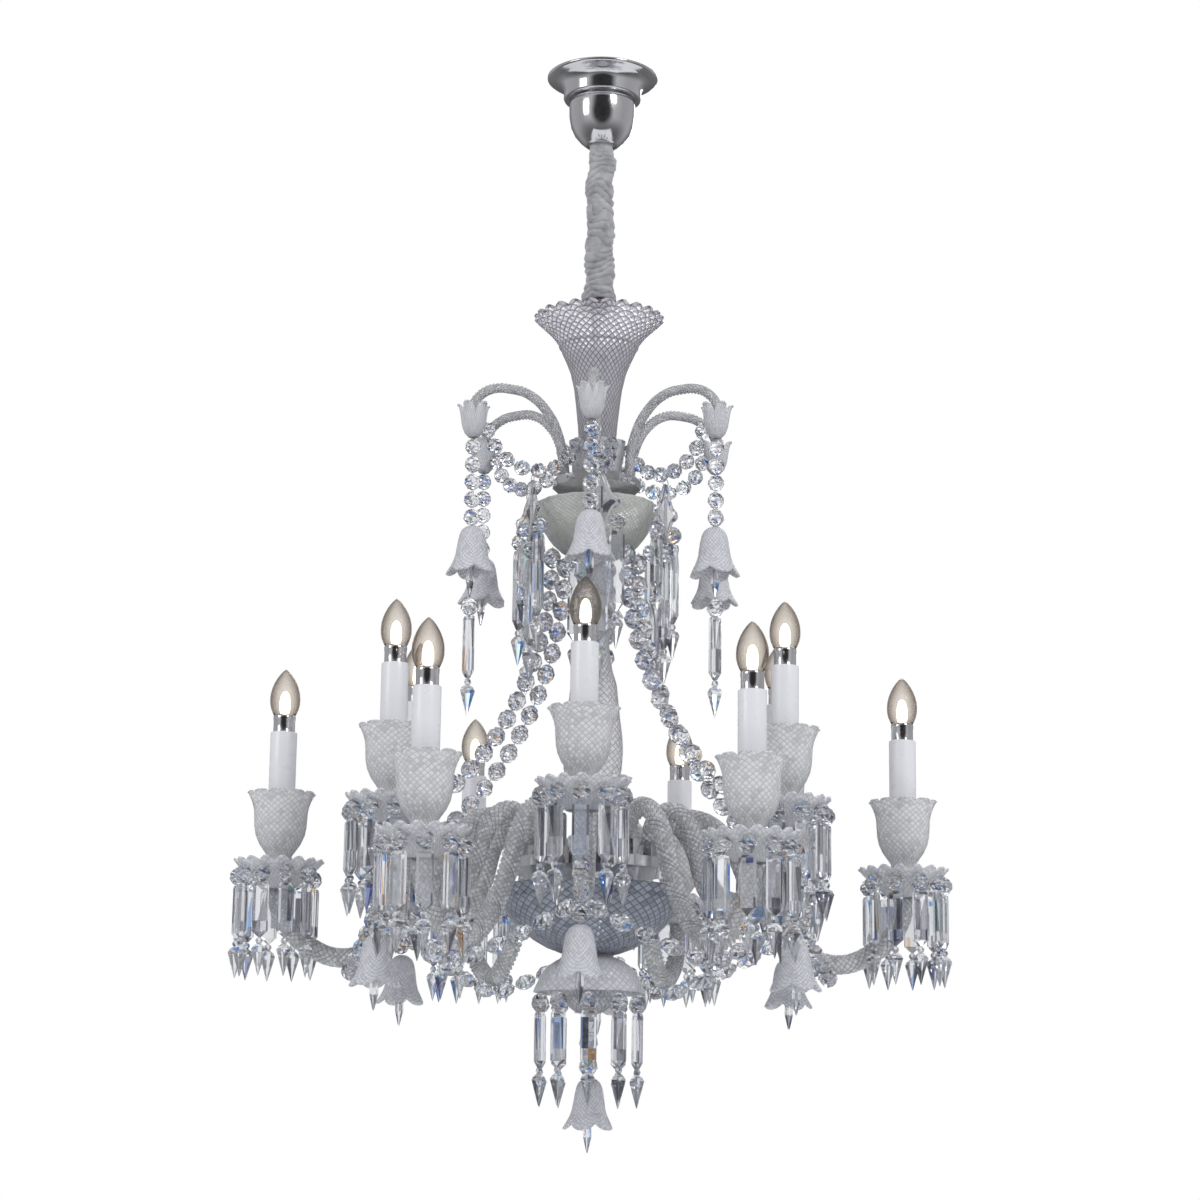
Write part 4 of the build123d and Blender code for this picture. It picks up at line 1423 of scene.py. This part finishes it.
@dataclass
class Arms:
    """The twelve lamp arms and the six canes of the top tier."""

    socket_r: float = 80 * MM
    arm_r: float = 11.2 * MM
    foot: float = -939.9 * MM
    low_point: float = 197 * MM
    low_z: float = -1071 * MM
    lower_reach: float = 278 * MM
    upper_reach: float = 172 * MM
    lower_tip: float = -995.1 * MM
    upper_tip: float = -934.1 * MM
    cane_r: float = 5.9 * MM
    cane_foot: float = -506.9 * MM
    cane_apex: float = -411 * MM
    cane_tip: float = -458.9 * MM
    tulip_top: float = -438 * MM
    tulip_profile: Profile = (
        (-477, 3), (-476, 6), (-471, 10.5), (-463, 13.6), (-455, 15), (-448, 16.4), (-442, 18.6),
        (-438.2, 19.9))
    tulip_lip: Ruffle = Ruffle(start=-466, end=-438.2, lobes=5, depth=0.42, rise=12)
    tulip_level: float = -438.1 * MM
    tulip_wall: float = 2 * MM
    tier: int = 6
    upper_start: float = -32  # the bearing of the first upper socket, in degrees

    def build(self, lamps: list[Vector]) -> None:
        """Model each kind once and stand it in its sockets.

        Args:
            lamps: the lamp axes' places, lower tier first.
        """
        lower = GlassRope("lower_arm_rope", self.arm_r, self.foot, (
            (0, self.foot + 12 * MM), (12 * MM, self.foot + 27 * MM), (37 * MM, self.foot + 33 * MM),
            (72 * MM, self.foot + 13 * MM), (107 * MM, self.foot - 53 * MM),
            (self.low_point - 48 * MM, self.low_z + 24 * MM), (self.low_point, self.low_z),
            (self.low_point + 46 * MM, self.low_z + 14 * MM),
            (self.lower_reach - 9 * MM, self.lower_tip - 36 * MM),
            (self.lower_reach, self.lower_tip - 12 * MM)), self.lower_tip).model()
        upper = GlassRope("upper_arm_rope", self.arm_r, self.foot, (
            (0, self.foot + 12 * MM), (9 * MM, self.foot + 27 * MM), (28 * MM, self.foot + 34 * MM),
            (53 * MM, self.foot + 11 * MM), (73 * MM, self.foot - 40 * MM), (104 * MM, self.foot - 72 * MM),
            (140 * MM, self.foot - 60 * MM), (self.upper_reach - 9 * MM, self.upper_tip - 38 * MM),
            (self.upper_reach, self.upper_tip - 12 * MM)), self.upper_tip).model()
        for master, chosen, start, name in ((lower, lamps[:self.tier], 0, "lower_arms"),
                                            (upper, lamps[self.tier:], self.upper_start, "upper_arms")):
            places = []
            for lamp in chosen:
                bearing = self.socket_bearing(lamp, start)
                socket = Vector((math.cos(bearing), math.sin(bearing), 0)) * self.socket_r
                way = Vector((lamp.x, lamp.y, 0)) - socket
                places.append(upright(socket.x, socket.y, 0, math.atan2(way.y, way.x)))
            hang(scatter(name + "_rope", master, places), Body.FRAME.value, "rope_glass", ROPE, name)
        discard(lower, upper)

    def socket_bearing(self, lamp: Vector, start: float) -> float:
        """The bearing of the socket that an arm stands in, the nearest of its tier.

        Args:
            lamp: the lamp that the arm carries.
            start: the bearing of the tier's first socket, in degrees.

        Returns:
            The bearing in radians.
        """
        bearing = math.atan2(lamp.y, lamp.x)
        choices = [math.radians(start - 360 * k / self.tier) for k in range(self.tier)]
        return min(choices, key=lambda turn: abs(math.remainder(turn - bearing, FULL_TURN)))

    def canes(self, tulips: list[Island]) -> None:
        """The canes that carry the tulips.

        Args:
            tulips: the CAD tulips.
        """
        apex, top = self.cane_apex, self.tulip_top
        reach = tulips[0].middle.xy.length
        cane = GlassRope("cane_rope", self.cane_r, self.cane_foot, (
            (45 * MM, self.cane_foot + 12 * MM), (51 * MM, apex - 50 * MM), (68 * MM, apex - 20 * MM),
            (92 * MM, apex - 3 * MM), (114 * MM, apex), (138 * MM, apex - 3 * MM),
            (reach - 7 * MM, apex - 14 * MM), (reach, top + 2 * MM)), self.cane_tip,
            lobes=6, lobe_depth=0.1, pitch=30 * MM, ring_step=2.4 * MM).model()
        places = [upright(0, 0, 0, math.atan2(tulip.middle.y, tulip.middle.x)) for tulip in tulips]
        hang(scatter("glass_canes_rope", cane, places), Body.FRAME.value, "rope_glass", ROPE, "glass_canes")
        discard(cane)
        tulip = ruffled(turned("tulip_master", self.tulip_profile, sides=60), self.tulip_lip)
        levelled(tulip, self.tulip_level)
        walled(faced_out(tulip), self.tulip_wall)
        places = [upright(t.middle.x, t.middle.y, 0, math.atan2(t.middle.y, t.middle.x)) for t in tulips]
        piece = scatter("cane_tulips_cut", tulip, places)
        hang(piece, Body.FRAME.value, "cut_glass", PAN_GLASS, "cane_tulips")
        discard(tulip)


# ------------------------------------------------------------------ lamps
@dataclass
class Lamps:
    """The twelve lamps, modelled once with the pan's rim plane at z = 0; profiles are in millimetres."""

    pan_profile: Profile = (
        (-31.6, 17.8), (-29, 20.5), (-24, 25), (-18, 31.5), (-13, 38), (-9, 43.5), (-5, 48), (-2, 51),
        (-0.2, 51.8))
    pan_rim: Ruffle = Ruffle(start=-26, end=0, lobes=16, depth=0.09, rise=6)
    pan_level: float = -0.1 * MM
    pan_wall: float = 2.8 * MM
    cup_profile: Profile = (
        (-27.8, 14.8), (-22, 13), (-12, 11.6), (0, 11.2), (8, 12), (14, 16), (22, 21.6), (31, 25.6),
        (40, 27.4), (50, 28), (58, 28.4), (65, 30), (71, 32.6), (76, 35.6), (80.6, 38.3))
    cup_lip: Ruffle = Ruffle(start=56, end=80.6, lobes=10, depth=0.15, rise=7)
    cup_level: float = 80.7 * MM
    cup_wall: float = 2.4 * MM
    tube_r: float = 15.3 * MM
    tube_foot: float = 24.1 * MM
    tube_top: float = 150.6 * MM
    tube_wall: float = 1.1 * MM
    holder_top: float = 170.3 * MM
    bulb_profile: Profile = (
        (224.4, 1.0), (222, 3.8), (218, 7.2), (213, 10.5), (208, 13.1), (202, 15.4), (196, 16.9), (190, 17.4),
        (184, 17.2), (178, 15.9), (173, 13.8), (170.6, 12.4))
    bulb_sides: int = 40
    bulb_wall: float = 0.6 * MM
    filament_profile: Profile = (
        (172.5, 2.5), (174, 5.2), (178, 6.4), (188, 6.2), (194, 5.0), (197, 3.6), (199, 1.5))
    turn_step: float = 2.1  # the turn from lamp to lamp in radians, so that no two look the same

    def build(self, lamps: list[Vector]) -> None:
        """Model each piece once, then stand it on every arm.

        Args:
            lamps: the middle of each pan's rim plane.
        """
        places = [upright(lamp.x, lamp.y, lamp.z, number * self.turn_step)
                  for number, lamp in enumerate(lamps)]
        for name, master, slot, finish, node in (
                ("drip_pans_cut", self.pan(), "cut_glass", PAN_GLASS, "drip_pans"),
                ("candle_cups_cut", self.cup(), "cut_glass", CUP_GLASS, "candle_cups"),
                ("candle_tubes_white", self.tube(), "white_sleeve", WHITE, "candle_tubes"),
                ("lamp_holders_chromed", self.holder(), "chrome", CHROME, "lamp_holders"),
                ("bulbs_clear", self.bulb(), "bulb_glass", BULB, "bulbs"),
                ("bulb_filaments", self.filament(), "bulb_glass", GLOW, "")):
            piece = scatter(name, master, places)
            hang(piece, Body.FRAME.value, slot, finish, *([node] if node else []))
            discard(master)

    def pan(self) -> bpy.types.Object:
        """A shallow dish with a deeply scalloped, turned-over rim.

        Returns:
            The master.
        """
        pan = ruffled(turned("pan_master", self.pan_profile, sides=100), self.pan_rim)
        levelled(pan, self.pan_level)
        return walled(faced_out(pan), self.pan_wall)

    def cup(self) -> bpy.types.Object:
        """A tulip-shaped cup, diamond cut, with a ruffled lip.

        Returns:
            The master.
        """
        cup = ruffled(turned("cup_master", self.cup_profile, sides=96), self.cup_lip)
        levelled(cup, self.cup_level)
        return walled(faced_out(cup), self.cup_wall)

    def tube(self) -> bpy.types.Object:
        """A white sleeve with a softened upper edge.

        Returns:
            The master.
        """
        top, r = self.tube_top, self.tube_r
        levels = ((self.tube_foot, r), (60 * MM, r), (100 * MM, r), (top - 1.6 * MM, r),
                  (top - 0.5 * MM, r - 0.3 * MM), (top - 0.1 * MM, r - 1.0 * MM))
        return walled(faced_out(thrown("tube_master", levels, sides=48)), self.tube_wall)

    def holder(self) -> bpy.types.Object:
        """The chromed collar with its lip, on a plain stem.

        Returns:
            The master.
        """
        top, foot = self.holder_top, self.tube_foot + 0.2 * MM
        levels = ((foot, 5 * MM), (118 * MM, 5 * MM), (126 * MM, 12.4 * MM), (149 * MM, 12.7 * MM),
                  (151 * MM, 12.75 * MM), (152 * MM, 12.4 * MM), (164 * MM, 12.4 * MM),
                  (165 * MM, 12.78 * MM), (169 * MM, 12.78 * MM), (top - 0.2 * MM, 12.2 * MM))
        return capped(thrown("holder_master", levels, sides=40))

    def bulb(self) -> bpy.types.Object:
        """A candle bulb from its tip down: the tip is closed, the foot left open.

        Returns:
            The master.
        """
        bulb = turned("bulb_master", self.bulb_profile, self.bulb_sides)
        pick(bulb)
        bpy.ops.object.mode_set(mode="EDIT")
        bpy.ops.mesh.select_all(action="DESELECT")
        bpy.ops.object.mode_set(mode="OBJECT")
        for edge in bulb.data.edges:
            edge.select = all(index < self.bulb_sides for index in edge.vertices)
        bpy.ops.object.mode_set(mode="EDIT")
        bpy.ops.mesh.edge_face_add()
        bpy.ops.object.mode_set(mode="OBJECT")
        return walled(faced_out(bulb), self.bulb_wall)

    def filament(self) -> bpy.types.Object:
        """The lit column of filaments."""
        return capped(turned("filament_master", self.filament_profile, sides=16))


# ------------------------------------------------------------------ drops, bells and ornaments
@dataclass
class Hangings:
    """Everything that hangs: drops, strands, swags, bells and fleurs."""

    crystals: CrystalSet
    drops: tuple[str, ...] = ("drop_octagons", "drop_prisms", "drop_spears")
    strings: tuple[str, ...] = ("collar_swags", "long_strands", "lower_swags")
    bell_profile: Profile = (
        (0, 4.6), (-1.5, 8), (-5, 12.2), (-10, 14.6), (-18, 16.4), (-27, 17.8), (-35, 19.2), (-42, 21.6),
        (-48, 24.8), (-53, 28), (-56.6, 29.8))
    bell_wall: float = 2.2 * MM
    bell_lobes: int = 5
    centred: float = 10 * MM  # a bell that hangs nearer the middle than this isn't turned
    frill_top: float = -20 * MM
    frill_height: float = 37 * MM
    frill_depth: float = 0.2
    frill_rise: float = 7 * MM
    fleur_half: Profile = (  # (Y, Z) of one side, from the top to the tip
        (0, -13), (3.6, -21), (6.6, -32), (12, -38.4), (17, -42), (12.4, -47), (8.4, -55), (4.6, -65),
        (0, -75))
    fleur_plate: float = 1.8 * MM

    def build(self) -> None:
        """Make each hanging group and each moving drop."""
        for node in self.drops:
            hang(self.crystals.string(node + "_cut", islands(node)), Body.FRAME.value, "crystal", DROP, node)
        for node in self.strings:
            solids = islands(node)
            hang(self.crystals.string(node + "_cut", solids), Body.FRAME.value, "crystal", BEAD, node)
            hang(self.crystals.wires(node + "_wires", solids), Body.FRAME.value, "chrome", CHROME)
        recoat("swag_pins", CHROME)
        bell, fleur = self.bell(), self.fleur()
        for body, nodes in frame["record"]["behaviour"]["bodies"].items():
            node = nodes[0]
            if "_bell" in node:
                self.bell_drop(node, body, bell)
            elif "fleur" in node:
                self.fleur_drop(node, body, fleur)
        discard(bell, fleur)

    def bell(self) -> bpy.types.Object:
        """A lily bell, its crown at z = 0 and its frilled mouth below.

        Returns:
            The master.
        """
        bell = turned("bell_master", self.bell_profile, sides=80)

        def frill(bearing: float, point: Vector) -> tuple[float, float]:
            """Flutes that open into the mouth's frill.

            Args:
                bearing: the point's bearing in radians.
                point: its place.

            Returns:
                The share to scale the radius by, and the rise in metres.
            """
            share = clamped((self.frill_top - point.z) / self.frill_height) ** 1.6
            wave = abs(math.sin(bearing * self.bell_lobes / 2))
            return 1 - self.frill_depth * share * (1 - wave), self.frill_rise * share * (1 - wave) ** 1.5

        waved(bell, frill)
        return walled(faced_out(bell), self.bell_wall)

    def bell_drop(self, node: str, body: str, bell: bpy.types.Object) -> None:
        """One bell with its string and what hangs in it.

        Args:
            node: the CAD node it stands for.
            body: the body that swings.
            bell: the bell's master.
        """
        solids = islands(node)
        kinds = (self.crystals.spindle_points, self.crystals.bar_points)
        skirt = max(solids, key=lambda s: (s.high - s.low).x)
        tongue = next(s for s in solids if s is not skirt and len(s.points) not in kinds)
        middle = (skirt.low + skirt.high) / 2
        turn = math.atan2(middle.y, middle.x) if middle.xy.length > self.centred else 0
        place = upright(middle.x, middle.y, skirt.high.z, turn)
        hang(scatter(node + "_skirt", bell, [place]), body, "cut_glass", BELL_GLASS, node)
        rest = [s for s in solids if len(s.points) in kinds]
        clapper = self.clapper(tongue)
        strung = self.crystals.string(node + "_strung", rest)
        hang(joined(node + "_crystals", [strung, clapper]), body, "crystal", DROP)

    def clapper(self, tongue: Island) -> bpy.types.Object:
        """A faceted clapper on its wire.

        Args:
            tongue: the CAD clapper.

        Returns:
            The clapper in its place.
        """
        low, high = tongue.low, tongue.high
        middle = (low + high) / 2
        top, foot = high.z - middle.z, low.z - middle.z
        levels = ((top, 0.8 * MM), (foot + 46 * MM, 0.8 * MM), (foot + 42 * MM, 4.6 * MM),
                  (foot + 18 * MM, 5.5 * MM), (foot + 2 * MM, 1.4 * MM), (foot, 0.5 * MM))
        piece = capped(thrown("clapper", levels, sides=6, round_off=False))
        piece.data.transform(Matrix.Translation((middle.x, middle.y, middle.z)))
        return piece

    def fleur(self) -> bpy.types.Object:
        """A fleur ornament in the YZ plane, hung at its apex: an arched pair of scrolls round a leaf.

        Returns:
            The master.
        """
        scroll = ((0, -9), (4.4, -16), (7, -28), (13, -37), (20.6, -38), (20.8, -46), (16, -47))
        blade = ((17.5, -45), (12, -49), (8.6, -57), (5, -67), (0, -79))
        spine = ((0, -24), (0.01, -36), (0, -50), (0.01, -60), (0, -76))
        parts = [self.stroke(path, thick, side) for path, thick, side in (
            (scroll, 2.6, 1), (scroll, 2.6, -1), (blade, 2.4, 1), (blade, 2.4, -1), (spine, 2.6, 1))]
        parts.append(self.fleur_body())
        deselect()
        bpy.ops.mesh.primitive_torus_add(major_radius=5 * MM, minor_radius=0.7 * MM, major_segments=16,
                                         minor_segments=6)
        ring = bpy.context.active_object
        ring.data.transform(Matrix.Translation((0, 0, -6 * MM)) @ Matrix.Rotation(math.pi / 2, 4, "Y"))
        parts.append(ring)
        return joined("fleur_master", parts)

    def stroke(self, path: Profile, thick: float, side: int) -> bpy.types.Object:
        """One rounded bar of the fleur.

        Args:
            path: (Y, Z) of its control points in millimetres.
            thick: the bar's radius in millimetres.
            side: 1, or -1 for the mirrored bar.

        Returns:
            The bar as a closed mesh.
        """
        curve = bpy.data.curves.new("scroll", "CURVE")
        curve.dimensions = "3D"
        curve.resolution_u = 6
        curve.bevel_depth = thick * MM
        curve.bevel_resolution = 2
        curve.use_fill_caps = True
        spline = curve.splines.new("NURBS")
        spline.points.add(len(path) - 1)
        for knot, (y, z) in zip(spline.points, path):
            knot.co = (0, side * y * MM, z * MM, 1)
        spline.order_u = 4
        spline.use_endpoint_u = True
        thing = bpy.data.objects.new("scroll", curve)
        bpy.context.collection.objects.link(thing)
        pick(thing)
        bpy.ops.object.convert(target="MESH")
        bpy.ops.object.mode_set(mode="EDIT")
        bpy.ops.mesh.select_all(action="SELECT")
        bpy.ops.mesh.remove_doubles(threshold=0.01 * MM)
        bpy.ops.mesh.normals_make_consistent(inside=False)
        bpy.ops.object.mode_set(mode="OBJECT")
        return bpy.context.active_object

    def fleur_body(self) -> bpy.types.Object:
        """The fleur's broad cut body between its scrolls.

        Returns:
            The plate as a closed mesh.
        """
        rim = [*self.fleur_half, *((-y, z) for y, z in reversed(self.fleur_half[1:-1]))]
        deselect()
        bpy.ops.mesh.primitive_circle_add(vertices=len(rim), radius=1, fill_type="NGON")
        body = bpy.context.active_object
        for point, (y, z) in zip(body.data.vertices, rim):
            point.co = (0, y * MM, z * MM)
        modify(body, "SOLIDIFY", thickness=self.fleur_plate, offset=0)
        return faced_out(body)

    def fleur_drop(self, node: str, body: str, fleur: bpy.types.Object) -> None:
        """One fleur with its three pendants.

        Args:
            node: the CAD node it stands for.
            body: the body that swings.
            fleur: the fleur's master.
        """
        solids = islands(node)
        plate = max(solids, key=lambda s: len(s.points))
        apex = [point for point in plate.points if point.z > plate.high.z - 0.5 * MM]
        hook = sum(apex, Vector()) / len(apex)
        spread = max(plate.points, key=lambda p: (p.xy - hook.xy).length)
        way = (spread.xy - hook.xy).normalized()
        turn = math.atan2(way.y, way.x) - math.pi / 2
        strung = self.crystals.string(node + "_strung", [s for s in solids if s is not plate])
        shaped = scatter(node + "_scrolls", fleur, [upright(hook.x, hook.y, hook.z, turn)])
        hang(shaped, body, "crystal", ORNAMENT, node)
        hang(strung, body, "crystal", DROP)


# ------------------------------------------------------------------ studio
@dataclass
class Studio:
    """The camera, the soft lights, the white background and the floor."""

    distance: float = 3240 * MM
    height: float = -1344.7 * MM
    side: float = 15.5 * MM
    pitch: float = 12.1
    roll: float = -0.8
    lens: float = 84.96
    floor_z: float = -2300 * MM
    floor_side: float = 3200 * MM
    floor_colour: Colour = (0.9, 0.9, 0.9)
    sensor: float = 36
    soft: float = 0.76
    soft_colour: Colour = (0.95, 0.97, 1.0)
    lamps: tuple[tuple[str, tuple[float, float, float], float, float], ...] = (  # name, place, watts, side
        ("key", (2.2, -2.6, 1.4), 30.0, 1.1),
        ("fill", (-2.8, -1.8, 0.4), 12.0, 1.2),
        ("back", (0.6, 2.6, 1.4), 20.0, 1.6))
    polish: tuple[tuple[float, float], ...] = (  # (place, brightness) of the bands that show in the polish
        (0.0, 0.02), (1.0, 0.10), (0.05, 0.04), (0.13, 0.5), (0.4, 0.36), (0.8, 0.42))
    fades: tuple[tuple[float, float, float], ...] = (  # (darkest at, full light from, darkest share)
        (-0.8, -0.1, 0.3), (0.86, 0.5, 0.45))  # downwards in the polish, and upwards through the glass
    aim: tuple[float, float, float] = (0, 0, -0.8)

    def build(self) -> None:
        """Set up the view and the light."""
        scene = bpy.context.scene
        scene.view_settings.view_transform = "Standard"
        lens = bpy.data.cameras.new("camera")
        lens.lens = self.lens
        lens.sensor_width = self.sensor
        camera = bpy.data.objects.new("camera", lens)
        camera.location = (self.side, -self.distance, self.height)
        camera.rotation_euler = (math.radians(90 + self.pitch), math.radians(self.roll), 0)
        scene.collection.objects.link(camera)
        scene.camera = camera
        self.world(scene)
        for lamp in self.lamps:
            self.lamp(*lamp)
        deselect()
        bpy.ops.mesh.primitive_grid_add(size=self.floor_side, location=(0, 0, self.floor_z), x_subdivisions=4,
                                        y_subdivisions=4)
        floor = bpy.context.active_object
        floor.name = "studio_floor"
        coat = bpy.data.materials.new("studio_floor")
        coat.use_nodes = True
        skin = coat.node_tree.nodes["Principled BSDF"]
        skin.inputs["Base Color"].default_value = (*self.floor_colour, 1)
        floor.data.materials.append(coat)

    def world(self, scene: bpy.types.Scene) -> None:
        """Light that is white to the eye, and shaded in bands for the polish and the cut glass.

        Args:
            scene: the scene that it lights.
        """
        world = bpy.data.worlds.new("studio")
        scene.world = world
        world.use_nodes = True
        shader = Shader(world.node_tree)
        for node in list(world.node_tree.nodes):
            world.node_tree.nodes.remove(node)
        path = shader.add("ShaderNodeLightPath")
        way = shader.add("ShaderNodeSeparateXYZ")
        shader.feed(shader.add("ShaderNodeTexCoord").outputs["Generated"], way.inputs[0])
        room = shader.add("ShaderNodeValToRGB")
        shader.feed(shader.calc("MULTIPLY", shader.calc("ADD", way.outputs[1], 1.0), 0.5), room.inputs[0])
        band(room.color_ramp, [(position, (value, value, 1.03 * value)) for position, value in self.polish])
        parts = []
        for near, far, dark in self.fades:
            step = shader.add("ShaderNodeMapRange", interpolation_type="SMOOTHSTEP")
            shader.feed(way.outputs[2], step.inputs["Value"])
            for label, value in (("From Min", near), ("From Max", far), ("To Min", dark), ("To Max", 1.0)):
                step.inputs[label].default_value = value
            parts.append(step.outputs[0])
        sources = (
            (path.outputs["Is Camera Ray"], (1, 1, 1), 1.0),
            (path.outputs["Is Transmission Ray"], (1, 1, 1), parts[1]),
            (path.outputs["Is Glossy Ray"], room.outputs[0], parts[0]))
        soft = shader.add("ShaderNodeBackground")
        soft.inputs["Color"].default_value = (*self.soft_colour, 1)
        soft.inputs["Strength"].default_value = self.soft
        light = soft.outputs[0]
        for share, colour, strength in reversed(sources):
            seen = shader.add("ShaderNodeBackground")
            shader.feed((*colour, 1) if isinstance(colour, tuple) else colour, seen.inputs["Color"])
            shader.feed(strength, seen.inputs["Strength"])
            mix = shader.add("ShaderNodeMixShader")
            shader.feed(share, mix.inputs[0])
            shader.feed(light, mix.inputs[1])
            shader.feed(seen.outputs[0], mix.inputs[2])
            light = mix.outputs[0]
        shader.feed(light, shader.add("ShaderNodeOutputWorld").inputs["Surface"])

    def lamp(self, name: str, place: Sequence[float], power: float, size: float) -> None:
        """A soft square lamp aimed at the middle of the object.

        Args:
            name: the lamp's name.
            place: where it stands, in metres.
            power: watts.
            size: its side in metres.
        """
        light = bpy.data.lights.new(name, "AREA")
        light.energy = power
        light.size = size
        thing = bpy.data.objects.new(name, light)
        thing.location = place
        thing.rotation_euler = (Vector(self.aim) - Vector(place)).to_track_quat("-Z", "Y").to_euler()
        bpy.context.scene.collection.objects.link(thing)


def main() -> None:
    """Build every sub-assembly round the frame."""
    Studio().build()
    CeilingEnd().build()
    Stem().build()
    tubes = islands("candle_tubes")
    lamps = [Vector((t.middle.x, t.middle.y, t.low.z - Lamps.tube_foot)) for t in tubes]
    lamps.sort(key=lambda lamp: (round(lamp.z, 3), math.atan2(lamp.y, lamp.x)))
    arms = Arms()
    arms.build(lamps)
    arms.canes(islands("cane_tulips"))
    Lamps().build(lamps)
    crystals = CrystalSet()
    Hangings(crystals).build()
    discard(crystals.bead, crystals.spear, crystals.prism)


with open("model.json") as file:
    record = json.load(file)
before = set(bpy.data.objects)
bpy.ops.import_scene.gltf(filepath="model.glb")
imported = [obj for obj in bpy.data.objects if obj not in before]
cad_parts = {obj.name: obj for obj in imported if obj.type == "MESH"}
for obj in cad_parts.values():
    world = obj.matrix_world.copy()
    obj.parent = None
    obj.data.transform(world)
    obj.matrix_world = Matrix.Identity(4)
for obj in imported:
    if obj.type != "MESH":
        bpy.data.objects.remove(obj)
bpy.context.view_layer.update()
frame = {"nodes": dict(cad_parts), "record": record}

if __name__ == "__main__":
    main()
